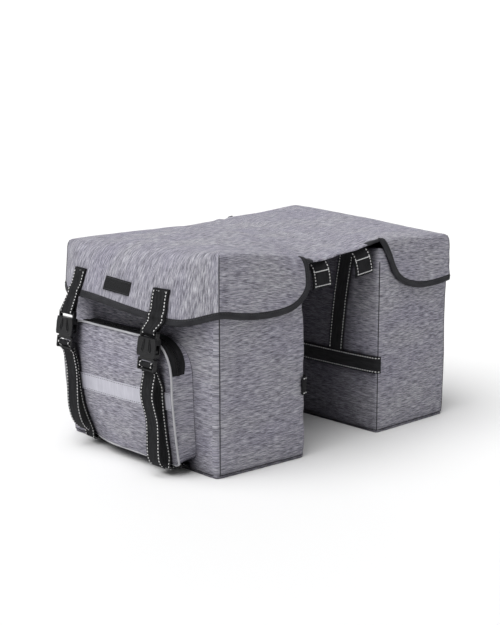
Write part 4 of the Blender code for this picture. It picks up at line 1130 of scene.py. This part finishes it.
def strap_stitches(path, wide, out, tang, half, thick, both=True, skip=(), inset=0.0026, shift=None, pitch=0.0046, ends=0.003):
    """Places for two rows of stitches along a strap."""
    p = np.array(path)
    s = np.concatenate([[0], np.cumsum(np.linalg.norm(np.diff(p, axis=0), axis=1))])
    places = []
    at = np.arange(ends, s[-1] - ends, pitch)
    for a in at:
        if any(lo <= a <= hi for lo, hi in skip):
            continue
        k = min(int(np.searchsorted(s, a)), len(p) - 1)
        k0 = max(0, k - 1)
        f = (a - s[k0]) / max(s[k] - s[k0], 1e-9)
        q = p[k0] + (p[k] - p[k0]) * f
        w, n, t = unit(wide[k]), unit(out[k]), unit(tang[k])
        share = (half - inset) / half
        for sx in (-1, 1):
            c = q + w * sx * (half - inset)
            if shift is not None:
                lo = shift[k0][0] + (shift[k][0] - shift[k0][0]) * f
                hi = shift[k0][1] + (shift[k][1] - shift[k0][1]) * f
                c = c + np.array([0.0, (hi if sx > 0 else lo) * share * share, 0.0])
            places.append((c + n * (thick / 2 + 0.00015), t, n))
            if both:
                places.append((c - n * (thick / 2 + 0.00015), t, -n))
    return places


def to_world(places, side):
    if side == "near":
        return places
    m = np.array([-1.0, -1.0, 1.0])
    return [(a * m, b * m, c * m) for a, b, c in places]


def world_object(obj, side):
    if side == "far":
        put(obj.data, coords(obj.data) * np.array([-1.0, -1.0, 1.0]))
    return obj


def cast_y(tree, side, x, z, fallback=-0.25):
    """y of the outer skin, in near-bag terms, of a world-space surface."""
    m = -1.0 if side == "far" else 1.0
    hit = tree.ray_cast(Vector((x * m, -0.5 * m, z)), Vector((0, m, 0)))
    return hit[0].y * m if hit[0] is not None else fallback


def build_lid_strap(side, sx, cover_tree, name):
    x = sx * STRAP_X
    top = LID_STRAP_TOP[0 if sx < 0 else 1]
    cols = [COVER_X.index(sx * c) for c in ((77.5, 91.5, 105.5) if sx > 0 else (105.5, 91.5, 77.5))]
    prof = [flap_column(side, "front", c) for c in cols]
    hem = prof[1][-1][2]
    tape = max(p[-1][2] for p in prof) + TAPE

    def skin(dx, z):
        lo = cast_y(cover_tree, side, x + dx, max(z, hem + 0.003), None)
        return lo

    zs = np.linspace(top, hem + 0.0015, 12)
    inner, outer, shift = [], [], []
    for z in zs:
        ys = [skin(dx, z) for dx in (-0.012, 0.0, 0.012)]
        ys = [y if y is not None else -0.275 for y in ys]
        up = 0.0024 * float(ease(-z, -(tape + 0.005), -(tape - 0.001)))
        y = min(ys[1], (ys[0] + ys[2]) / 2)
        base = 0.0006 + up
        inner.append((x, y - base - WEB_T * 0.5, z))
        outer.append((x, y - base - WEB_T * 1.5 - 0.0007, z))
        shift.append((ys[0] - y, ys[2] - y))
    loop = []
    r = 0.0035
    for deg in (26, 55, 85, 115, 145, 175, 206):
        a = math.radians(deg)
        yy, zz = buckle_point(math.sin(a) * r, -math.cos(a) * r)
        loop.append((x, yy, zz))
    raw = inner + loop + outer[::-1]
    sh = shift + [(0, 0)] * len(loop) + shift[::-1]
    both = np.array([(*a, *b) for a, b in zip(raw, sh)])
    fine, at = resample(both, 0.0022)
    path, shf = fine[:, :3], [tuple(v) for v in fine[:, 3:]]
    w, n, t = yz_frames(path)
    # outward is away from the middle of the loop: towards -Y on the outer run
    if n[-3][1] > 0:
        n = -n
    obj = strap(name, path, w, n, WEB_W / 2, WEB_T, WEB, shf)
    world_object(obj, side)
    half = at[-1] / 2
    places = strap_stitches(path, w, n, t, WEB_W / 2, WEB_T, both=False, skip=((0, half * 0.92),), shift=shf)
    # bar tack across the sewn top
    top_y = outer[0][1] - WEB_T / 2
    for k in range(6):
        places.append((np.array([x - 0.0095 + 0.0038 * k, top_y - 0.0002 + (shift[0][0] if k < 3 else shift[0][1]) * 0.4, top - 0.0032]),
                       np.array([1.0, 0, 0]), np.array([0, -1.0, 0])))
    return obj, to_world(places, side)


def build_lower_strap(side, sx, pocket_tree, name):
    x = sx * STRAP_X

    def on(dx, z):
        y = cast_y(pocket_tree, side, x + dx, z, None)
        return y if y is not None else pocket_front(x + dx, z)

    path, shift = [], []
    wall = front_face(x, 0.012)
    y_edge = on(0, 0.0185)
    sides = [on(d, 0.0185) - y_edge for d in (-WEB_W / 2, WEB_W / 2)]
    z_low = POCKET_Z[0] - CLEAR - WEB_T / 2 - 0.0040
    path += [(x, wall - 0.0016, 0.0035), (x, wall - 0.0030, z_low - 0.0035), (x, wall - 0.0055, z_low - 0.0005),
             (x, (wall + y_edge) / 2, z_low), (x, y_edge + 0.0010, z_low)]
    shift += [(0, 0), (0, 0), (0, 0), (sides[0] / 2, sides[1] / 2), tuple(sides)]
    for z in (0.0115, 0.0165):
        path.append((x, y_edge - (0.0042 if z < 0.012 else 0.0052), z))
        shift.append(tuple(sides))
    for z, lift in ((0.026, 0.0014), (0.040, 0.0014), (0.050, 0.0018), (0.061, 0.0018), (0.072, 0.0018),
                    (0.083, 0.0024), (0.094, 0.0026), (0.105, 0.0026), (0.117, 0.0026), (0.128, 0.0024)):
        y = on(0, z)
        sh = [on(d, z) - y for d in (-0.012, 0.012)]
        y = min(y, y + (sh[0] + sh[1]) / 2)
        path.append((x, y - CLEAR - WEB_T / 2 - lift, z))
        shift.append((sh[0], sh[1]))
    back = -(0.0030 + CLEAR + WEB_T / 2)
    path.append((x, buckle_point(56.0 * MM, back - 0.0052)[0], buckle_point(56.0 * MM, 0)[1]))
    path.append((x, *buckle_point(48.5 * MM, back - 0.0022)))
    r = 0.00325
    for deg in (200, 160, 125, 90, 55, 20, -20, -60, -98):
        a = math.radians(deg)
        path.append((x, *buckle_point(45.0 * MM - math.sin(a) * r, math.cos(a) * r)))
    path.append((x, *buckle_point(49.2 * MM, -0.0026)))
    path.append((x, *buckle_point(51.5 * MM, -0.0034)))
    path.append((x, *buckle_point(55.0 * MM, -0.0034)))
    rows = TAIL_RIGHT if sx > 0 else TAIL_LEFT
    path += [(x, y * MM, z * MM) for z, y in rows]
    shift += [(0, 0)] * (len(path) - len(shift))
    both = np.array([(*a, *b) for a, b in zip(path, shift)])
    fine, at = resample(both, 0.0024)
    p, shf = fine[:, :3], [tuple(v) for v in fine[:, 3:]]
    w, n, t = yz_frames(p)
    obj = strap(name, p, w, n, WEB_W / 2, WEB_T, WEB, shf)
    world_object(obj, side)
    places = strap_stitches(p, w, n, t, WEB_W / 2, WEB_T, both=True, skip=((0, 0.012),), shift=shf)
    return obj, to_world(places, side)


# ------------------------------------------------------------ hem tape
def hem_path(mesh, side):
    """Ordered points of the cover's free edge on one side, with outward normals
    and the direction into the cloth."""
    bm = bmesh.new()
    bm.from_mesh(mesh)
    bm.normal_update()
    sgn = -1 if side == "near" else 1
    edges = [e for e in bm.edges if e.is_boundary]
    link = {}
    for e in edges:
        a, b = e.verts
        link.setdefault(a.index, []).append(b.index)
        link.setdefault(b.index, []).append(a.index)
    bm.verts.ensure_lookup_table()
    start = next(v for v in link if abs(bm.verts[v].co.y) < 0.004 and bm.verts[v].co.x > 0)
    order, prev, cur = [start], None, start
    while True:
        nxt = [v for v in link[cur] if v != prev]
        if not nxt:
            break
        step = nxt[0]
        if prev is None:
            step = next(v for v in link[cur] if sgn * (bm.verts[v].co.y - bm.verts[cur].co.y) > 0)
        if step == start:
            break
        order.append(step)
        prev, cur = cur, step
    loop = [v for v in order]
    # the run from the top of one end flap round to the other
    pts = np.array([bm.verts[v].co[:] for v in loop])
    nrm = np.array([bm.verts[v].normal[:] for v in loop])
    into = []
    for v in loop:
        vec = Vector((0, 0, 0))
        for e in bm.verts[v].link_edges:
            if not e.is_boundary:
                vec += (e.other_vert(bm.verts[v]).co - bm.verts[v].co).normalized()
        if vec.length < 1e-6:
            vec = Vector((0, 0, 1))
        into.append(vec.normalized()[:])
    bm.free()
    into = np.array(into)
    own = pts[:, 1] * sgn > 0.055
    first = int(np.argmax(own))
    idx = []
    k = first
    while k < len(own) and own[k]:
        idx.append(k)
        k += 1
    drop = [i for i in idx if pts[i][2] < 0.2905 or abs(pts[i][1]) > 0.0795]
    return pts[drop], nrm[drop], into[drop]


def smooth_rows(a, times):
    a = a.copy()
    for _ in range(times):
        a[1:-1] = (a[:-2] + 2 * a[1:-1] + a[2:]) / 4
    return a


def build_binding(mesh, side):
    pts, nrm, into = hem_path(mesh, side)
    pts = smooth_rows(pts, 2)
    nrm, into = unit(smooth_rows(nrm, 3)), unit(smooth_rows(into, 6))
    t = unit(np.gradient(pts, axis=0))
    into = unit(into - t * np.sum(into * t, axis=1, keepdims=True))
    flat = unit(np.cross(t, into))
    flip = np.sum(flat * nrm, axis=1) < 0
    flat[flip] *= -1
    c = pts - flat * COVER_CLOTH / 2
    h, g = COVER_CLOTH / 2 + 0.00035, 0.0009
    lap = TAPE
    prof = [(h, lap), (h + g * 0.7, lap - 0.0003), (h + g, lap - 0.0012), (h + g, lap * 0.6), (h + g * 1.15, lap * 0.25), (h + g, 0.0004),
            (h * 0.8, -0.0012), (0.0, -0.0018), (-h * 0.8, -0.0012),
            (-h - g, 0.0004), (-h - g * 1.15, lap * 0.25), (-h - g, lap * 0.6), (-h - g, lap - 0.0012), (-h - g * 0.7, lap - 0.0003), (-h, lap)]
    puck = value_noise(pts, 0.012, 31) * 0.0004
    sec = []
    for k in range(len(pts)):
        sec.append([c[k] + flat[k] * (s + (puck[k] if s > 0 else 0.0)) + into[k] * b for s, b in prof])
    obj = lofted(f"{side}_hem_tape", sec, BINDING)
    finish_piece(obj, "edge_binding", side + "_lid_binding")
    # one row of dark stitches near the tape's inner edge
    s = np.concatenate([[0], np.cumsum(np.linalg.norm(np.diff(pts, axis=0), axis=1))])
    places = []
    for a in np.arange(0.004, s[-1] - 0.004, 0.0042):
        k = int(np.searchsorted(s, a))
        f = (a - s[k - 1]) / (s[k] - s[k - 1])
        q = c[k - 1] + (c[k] - c[k - 1]) * f
        places.append((q + flat[k] * (h + g + 0.0001) + into[k] * (lap - 0.0022), t[k], flat[k]))
    return places


# ------------------------------------------------------------ assembly
stitch_light, stitch_dark = {"near": [], "far": []}, []

cover_mesh = build_cover()
cover_tree = tree_of(cover_mesh)
for side in ("near", "far"):
    stitch_dark += build_binding(cover_mesh, side)
cover = new_object("cloth_cover", solidified(cover_mesh, COVER_CLOTH), CLOTH_COVER)
finish_piece(cover, "melange_cloth", "top_cover")

pocket_trees, body_trees = {}, {}
for side in ("near", "far"):
    mesh = build_body(side)
    body_trees[side] = tree_of(mesh)
    finish_piece(new_object(f"{side}_cloth_bag", mesh, CLOTH_BODY), "melange_cloth", side + "_bag_body")
    mesh = build_pocket(side)
    pocket_trees[side] = tree_of(mesh)
    finish_piece(new_object(f"{side}_cloth_pocket", mesh, CLOTH_POCKET), "melange_cloth", side + "_pocket")


# upright corner seams of the bags, a dark line round each bag's foot, and the lid's corner seams
def surface_point(tree, origin, direction, lift):
    hit = tree.ray_cast(Vector(origin), Vector(direction))
    if hit[0] is None:
        return None
    return np.array(hit[0]) - np.array(direction) * lift


for side in ("near", "far"):
    tree = body_trees[side]
    m = -1.0 if side == "far" else 1.0
    yc = -(Y_OUT + Y_IN) / 2 * m
    seams = []
    for sx in (-1, 1):
        for sy in (-1, 1):
            pts = []
            d = unit(np.array([-sx * 1.0, -sy * 1.0, 0.0]))
            for z in np.linspace(0.004, 0.262, 44):
                o = np.array([sx * (HX + 0.05), yc + sy * (BAG_D / 2 + 0.05), z])
                # aim at the corner's own line
                q = surface_point(tree, o + np.array([0, 0, 0]), tuple(d), 0.0)
                if q is not None:
                    pts.append(q)
            if len(pts) > 4:
                seams.append(tube(f"{side}_corner_seam_{len(seams) + 1}", smooth_rows(np.array(pts), 1), 0.0008, DARK_THREAD, step=0.006, sides=6))
    # a dark tube round the foot of the bag, 4.5 mm above the floor
    ring = []
    for k in range(140):
        a = 2 * math.pi * k / 140
        d = np.array([math.cos(a), math.sin(a), 0.0])
        q = surface_point(tree, (d * 0.6 + np.array([0, yc, 0.0045])), tuple(-d), 0.0)
        if q is not None:
            ring.append(q)
    seams.append(tube(f"{side}_foot_dark_line", ring, 0.0008, DARK_THREAD, closed=True, step=0.006, sides=6))
    for s in seams:
        finish_piece(s, "melange_cloth")
for side in ("near", "far"):
    m = -1.0 if side == "far" else 1.0
    for sx in (-1, 1):
        pts = []
        prof = turned(flap_column(side, "corner", sx), side)
        for z in np.linspace(prof[1][2] - 0.001, prof[5][2] + 0.006, 26):
            o = (sx * 0.25, -0.32, z)
            tgt = np.array([sx * (HX + 0.004), -(Y_OUT + 0.004), z])
            x = float(np.interp(z, [p[2] for p in prof][::-1], [p[0] for p in prof][::-1]))
            y = float(np.interp(z, [p[2] for p in prof][::-1], [p[1] for p in prof][::-1]))
            d = unit(np.array([-np.sign(x), -np.sign(y), 0.0]))
            q = surface_point(cover_tree, np.array([x, y, z]) - d * 0.06, tuple(d), 0.0)
            if q is not None:
                pts.append(q)
        if len(pts) > 4:
            finish_piece(tube(f"{side}_lid_seam_{'left' if sx < 0 else 'right'}", smooth_rows(np.array(pts), 1), 0.0007, DARK_THREAD, step=0.005, sides=6),
                         "melange_cloth")

# piping, zip tape and reflective band on each pocket
N_FIRST, N_LAST = 8, 21


def gusset_point(side, k, share, lift):
    front = pocket_outline()
    back = pocket_outline(0.003, 0.006)
    (xb, zb), (xf, zf) = back[k], front[k]
    yb = front_face(xb, zb) - CLEAR - 0.0004
    yf = pocket_front(max(-0.118, min(0.118, xf)), zf)
    w = np.array([xb + (xf - xb) * share, yb + (yf - yb) * share, zb + (zf - zb) * share])
    c = np.array([0.0, w[1], 0.100])
    if abs(w[0]) > 0.073 and w[2] > 0.144:
        c = np.array([math.copysign(0.073, w[0]), w[1], 0.144])
    elif w[2] <= 0.144:
        c = np.array([0.0, w[1], w[2]])
    else:
        c = np.array([w[0], w[1], 0.1])
    d = unit(w - c)
    m = np.array([-1.0, -1.0, 1.0]) if side == "far" else np.ones(3)
    o = (w + d * 0.03) * m
    hit = pocket_trees[side].ray_cast(Vector(o), Vector(-d * m))
    q = np.array(hit[0]) * m if hit[0] is not None else w
    return q + d * lift


for side in ("near", "far"):
    outline = pocket_outline()
    ring = []
    for (xf, zf) in outline:
        ring.append(np.array([xf, pocket_front(max(-0.118, min(0.118, xf)), zf), zf]))
    c = np.array([0, 0, 0.1])
    pts = []
    for k, p in enumerate(ring):
        ahead = unit(ring[(k + 1) % len(ring)] - ring[k - 1])
        out = unit(np.cross(ahead, np.array([0, -1.0, 0])))
        if np.dot(out, p - np.array([0, p[1], 0.1])) < 0:
            out = -out
        low = p[2] < POCKET_Z[0] + 0.004
        pts.append(p + out * (-0.0002 if low else 0.0012) + np.array([0, 0.0010 if low else -0.0012, 0]))
    pipe = tube(f"{side}_pocket_cord_piping", pts, 0.0016, PIPE, closed=True, step=0.004, sides=10)
    world_object(pipe, side)
    finish_piece(pipe, "light_piping", side + "_pocket_piping")
    # zip: two tapes with a coil between them
    rows = []
    shares = (0.40, 0.52, 0.64, 0.665, 0.69, 0.71, 0.735, 0.76, 0.86, 0.96)
    lifts = (0.0004, 0.0010, 0.0012, 0.0018, 0.0022, 0.0022, 0.0018, 0.0012, 0.0010, 0.0006)
    grid = []
    for k in range(N_FIRST, N_LAST + 1):
        wide = math.sin(math.pi * (k - N_FIRST) / (N_LAST - N_FIRST)) ** 0.5
        first = 0.34 - 0.20 * wide
        run = [first + (s - 0.40) / 0.56 * (0.975 - first) for s in shares]
        grid.append(np.concatenate([gusset_point(side, k, s, l + 0.0008 * wide) for s, l in zip(run, lifts)]))
    fine, at = resample(np.array(grid), 0.003)
    sec = []
    for row in fine:
        top = row.reshape(-1, 3)
        mid = top.mean(axis=0)
        c = np.array([0.0, mid[1], 0.100])
        inward = unit(c - mid)
        sec.append(list(top) + [q + inward * 0.0009 for q in top[::-1]])
    z = lofted(f"{side}_zip_band", sec, ZIP)
    world_object(z, side)
    finish_piece(z, "zip_tape", side + "_pocket_zip")
    # coil teeth
    places = []
    line, _ = resample(np.array([g.reshape(-1, 3)[4:6].mean(axis=0) for g in grid]), 0.0016)
    tan = unit(np.gradient(line, axis=0))
    for q, t in zip(line, tan):
        c = np.array([0.0, q[1], 0.100])
        n = unit(q - c)
        w = unit(np.cross(t, n))
        places.append((q + n * 0.0004, w, n))
    verts, faces = stitch_mesh(to_world(places, side), 0.0052, 0.0006)
    teeth = new_object(f"{side}_zip_teeth", mesh_from("teeth", verts, faces, [[(0, 0)] * len(f) for f in faces]), PLASTIC)
    finish_piece(teeth, "zip_tape")
    # reflective band sewn over the panel
    sec = []
    for k in range(73):
        x = -0.1145 + 0.229 * k / 72
        top = 0.1140 + 0.006 * k / 72
        row = []
        for q in range(8):
            zz = top - 0.0245 + 0.0245 * q / 7
            row.append(np.array([x, cast_y(pocket_trees[side], side, x, zz) - 0.0007, zz]))
        sec.append(row + [p + np.array([0, 0.0009, 0]) for p in reversed(row)])
    band = lofted(f"{side}_reflective_strip", sec, REFLECT)
    world_object(band, side)
    finish_piece(band, "reflective_tape", side + "_reflective_band")
    for edge_z in (0.0018, 0.0227):
        for k in range(52):
            x = -0.112 + 0.0044 * k
            top = 0.1140 + 0.006 * (x + 0.1145) / 0.229
            zz = top - 0.0245 + edge_z
            y = cast_y(pocket_trees[side], side, x, zz) - 0.0008
            stitch_dark += to_world([(np.array([x, y, zz]), np.array([1.0, 0, 0.03]), np.array([0, -1.0, 0]))], side)

# closing straps
for side in ("near", "far"):
    for sx, word in ((-1, "left"), (1, "right")):
        obj, places = build_lid_strap(side, sx, cover_tree, f"{side}_lid_webbing_{word}")
        finish_piece(obj, "webbing", f"{side}_lid_strap_{word}")
        stitch_light[side] += places
        obj, places = build_lower_strap(side, sx, pocket_trees[side], f"{side}_lower_webbing_{word}")
        finish_piece(obj, "webbing", f"{side}_lower_strap_{word}")
        stitch_light[side] += places

# belts and upright straps on the inner walls
for side in ("near", "far"):
    tree = body_trees[side]
    m = np.array([-1.0, -1.0, 1.0]) if side == "far" else np.ones(3)
    zmid = sum(BELT_Z) / 2
    yc = -(Y_OUT + Y_IN) / 2
    pts = []
    ring = [(HX, -Y_IN - 0.016), (HX, -Y_IN - 0.008), (HX, -Y_IN - 0.004)]
    body = [body_point(side, u, v, zmid) for u, v in fine_ring()]
    path = [p for p in body if p[1] > yc + BAG_D / 2 * 0.80]
    path.sort(key=lambda p: -p[0] if p[1] > -Y_IN - 0.003 else (-1 if p[0] > 0 else 1))
    right = sorted([p for p in path if p[0] > HX - 0.006 and p[1] < -Y_IN - 0.0025], key=lambda p: p[1])
    left = sorted([p for p in path if p[0] < -HX + 0.006 and p[1] < -Y_IN - 0.0025], key=lambda p: -p[1])
    keys = {tuple(p) for p in right} | {tuple(p) for p in left}
    mid = sorted([p for p in path if tuple(p) not in keys], key=lambda p: -p[0])
    raw = [body_point(side, 1.0, 0.885, zmid)] + right + mid + left
    fine, _ = resample(np.array(raw), 0.004)
    t = unit(np.gradient(fine, axis=0))
    out = np.stack([t[:, 1], -t[:, 0], np.zeros(len(t))], axis=1)
    flip = np.sum(out * (fine - np.array([0, yc, zmid])), axis=1) < 0
    out[flip] *= -1
    out = unit(out)
    p = fine + out * 0.0030
    up = np.tile(np.array([0, 0, 1.0]), (len(p), 1))
    obj = strap(f"{side}_inner_webbing_belt", p, up, out, (BELT_Z[1] - BELT_Z[0]) / 2, WEB_T, WEB)
    places = strap_stitches(p, up, out, t, (BELT_Z[1] - BELT_Z[0]) / 2, WEB_T, both=False)
    world_object(obj, side)
    finish_piece(obj, "webbing", side + "_inner_belt")
    stitch_light[side] += to_world(places, side)
    rows = ((0.0965, -0.0834), (0.105, -0.084), (0.120, -0.085), (0.165, -0.089), (0.210, -0.094), (0.245, -0.099))
    pts = [(x, inner_wall(side, x, z) + 0.0022 + (0.0 if z < 0.2 else 0.0006), z) for z, x in rows]
    pts.append((-0.104, -Y_IN + 0.0060, 0.266))
    pts.append((-0.107, -Y_IN + 0.0130, 0.2765))
    fine, _ = resample(pts, 0.003)
    w, n, t = yz_frames(fine)
    if n[3][1] < 0:
        n = -n
    obj = strap(f"{side}_inner_webbing_upright", fine, w, n, WEB_W / 2, WEB_T, WEB)
    places = strap_stitches(fine, w, n, t, WEB_W / 2, WEB_T, both=False, skip=((0, 0.0245),))
    world_object(obj, side)
    finish_piece(obj, "webbing", side + "_inner_strap")
    stitch_light[side] += to_world(places, side)

# tabs under the bridge's edges
for k, (side, y_top, lean) in enumerate((("near", -0.040, 0.15), ("near", 0.046, 0.25), ("far", -0.040, 0.15), ("far", 0.046, 0.25)), 1):
    world = -1.0 if side == "far" else 1.0
    x = 0.1500
    top = cover_top(world * x, world * y_top) - COVER_CLOTH - 0.0048
    rows = ((0.0, -0.004), (0.006, 0.0005), (0.014, 0.0025), (0.022, 0.0032), (0.030, 0.0030), (0.0355, 0.0016))
    front = [(x + out + 0.0060, y_top + lean * d, top - d) for d, out in rows]
    back = [(x + out + 0.0036, y_top + lean * d, top - d) for d, out in rows]
    turn_ = [(x + 0.0048, y_top + lean * 0.0370, top - 0.0372)]
    fine, _ = resample(front + turn_ + back[::-1], 0.002)
    t = unit(np.gradient(fine, axis=0))
    wide_dir = unit(np.array([0.36, 1.0, lean]))
    face_dir = unit(np.array([1.0, -0.36, 0.0]))
    w = np.tile(wide_dir, (len(fine), 1))
    n = unit(np.cross(w, t))
    if n[5][0] < 0:
        n = -n
    obj = strap(f"bridge_webbing_tab_{k}", fine, w, n, WEB_W / 2, 0.0013, WEB)
    places = strap_stitches(fine[:len(fine) // 2], w, n, t, WEB_W / 2, 0.0013, both=False)
    for d in (0.012, 0.033):
        base = np.array([x + 0.0060 + (0.0021 if d < 0.02 else 0.0023), y_top + lean * d, top - d]) + face_dir * 0.0009
        for q in range(9):
            off = -0.0110 + 0.00275 * q
            places.append((base + wide_dir * off, wide_dir, face_dir))
    world_object(obj, side)
    finish_piece(obj, "webbing", f"bridge_tab_{k}")
    stitch_light[side] += to_world(places, side)

# label patch, left bare inside a sewn border
sec = []
for k in range(17):
    x = -LABEL[0] / 2 + LABEL[0] * k / 16
    z0 = 0.2430 - 0.002 * k / 16
    row = [np.array([x, cast_y(cover_tree, "near", x, z) - 0.0006, z]) for z in np.linspace(z0, z0 + LABEL[1], 7)]
    edge = 0.0004 if k in (0, 16) else 0.0
    sec.append([p + np.array([0, -0.0011 + edge, 0]) for p in row] + [p for p in reversed(row)])
obj = lofted("blank_label", sec, LABEL_MAT)
finish_piece(obj, "label_cloth", "label_patch")
for zz in (0.0016, LABEL[1] - 0.0016):
    for k in range(21):
        x = -LABEL[0] / 2 + 0.0018 + 0.00272 * k
        z = 0.2430 - 0.002 * (x / LABEL[0] + 0.5) + zz
        stitch_dark.append((np.array([x, cast_y(cover_tree, "near", x, z) - 0.0018, z]), np.array([1.0, 0, 0]), np.array([0, -1.0, 0])))

for side in ("near", "far"):
    stitches(f"{side}_white_stitches", stitch_light[side], THREAD)
stitches("dark_stitches", stitch_dark, DARK_THREAD, 0.0030, 0.0004)

# hard pieces stay as they are and take moulded plastic or metal
for name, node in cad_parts.items():
    obj = node if hasattr(node, "data") else bpy.data.objects.get(name)
    if obj is None or obj.type != "MESH":
        continue
    if "buckle" in name:
        new = PLASTIC
    elif "slider" in name:
        new = METAL
    elif "pull" in name:
        new = WEB
    else:
        continue
    for s in obj.material_slots:
        s.material = new

# moulded ribs on each buckle's face: two leaf-shaped frames, and in each a flat dark matte sheet as painted shade of a
# recess
for side in ("near", "far"):
    for sx, word in ((-1, "left"), (1, "right")):
        for su, hand in ((-1, "a"), (1, "b")):
            leaf, well = [], []
            for k in range(20):
                a = 2 * math.pi * k / 20
                v = (19.5 - 8.5 * math.cos(a)) * MM
                u = (su * (6.6 + 1.6 * (v / MM - 19.5) / 8.5) + 2.7 * math.sin(a) * (0.62 + 0.38 * -math.cos(a))) * MM
                leaf.append((sx * STRAP_X + u, *buckle_point(v, 0.0049)))
                well.append((sx * STRAP_X + u, *buckle_point(v, 0.0050)))
            rim = tube(f"{side}_buckle_rib_{word}_{hand}", leaf, 0.0008, PLASTIC, closed=True, step=0.0022, sides=8)
            world_object(rim, side)
            finish_piece(rim, "buckle_plastic")
            inner = [np.array(q) for q in well]
            mid = sum(inner) / len(inner)
            back = np.array([0.0, 0.0006, 0.0])
            # painted shade: a flat dark sheet stands in for the shadowed recess inside each frame
            dark = lofted(f"{side}_buckle_well_{word}_{hand}", [inner, [q + back for q in inner]], LABEL_MAT)
            world_object(dark, side)
            finish_piece(dark, "buckle_plastic")

# ------------------------------------------------------------ floor, light, camera
scene = bpy.context.scene
floor_mesh = mesh_from("floor", [(-30, -30, 0), (30, -30, 0), (30, 30, 0), (-30, 30, 0)], [(0, 1, 2, 3)])
g = Graph("studio_floor")
g.set(Base_Color=(0.90, 0.90, 0.90), Roughness=0.9, Specular_IOR_Level=0.1)
floor = new_object("studio_floor", floor_mesh, g.mat, smooth=False)

world = bpy.data.worlds.new("studio")
scene.world = world
world.use_nodes = True
bg = world.node_tree.nodes["Background"]
bg.inputs[0].default_value = (1.0, 1.0, 1.0, 1)
bg.inputs[1].default_value = 0.25


sun = bpy.data.lights.new("overhead", "SUN")
sun.energy = 3.0
sun.angle = math.radians(62)
sun_obj = bpy.data.objects.new("overhead", sun)
sun_obj.rotation_euler = Vector((-0.03, -0.48, 1.0)).to_track_quat("Z", "Y").to_euler()
scene.collection.objects.link(sun_obj)

# pale card far behind, square to the camera
g = Graph("backdrop_card")
g.set(Base_Color=(0.9, 0.9, 0.9), Emission_Color=(1.0, 1.0, 1.0), Emission_Strength=1.05, Roughness=0.9)
card = new_object("backdrop_card", mesh_from("card", [(-9, 0, -0.5), (9, 0, -0.5), (9, 0, 7), (-9, 0, 7)], [(0, 1, 2, 3)]), g.mat, smooth=False)
card.location = (-9.5, 9.1, 0)
card.rotation_euler = (0, 0, math.radians(46.31))

cam = bpy.data.cameras.new("view")
cam_obj = bpy.data.objects.new("view", cam)
scene.collection.objects.link(cam_obj)
az, el = math.radians(46.31), math.radians(11.39)
cam_obj.location = (1.442, -1.404, 0.591)
back = Vector((math.sin(az) * math.cos(el), -math.cos(az) * math.cos(el), math.sin(el)))
cam_obj.rotation_euler = back.to_track_quat("Z", "Y").to_euler()
cam.sensor_fit = "VERTICAL"
cam.sensor_height = 36
cam.lens = 1344 * 36 / 625
cam.shift_y = -(312.5 - 304.5) / 625
cam.clip_start, cam.clip_end = 0.05, 200
scene.camera = cam_obj
scene.view_settings.view_transform = "Standard"
scene.view_settings.look = "None"

bpy.context.view_layer.update()
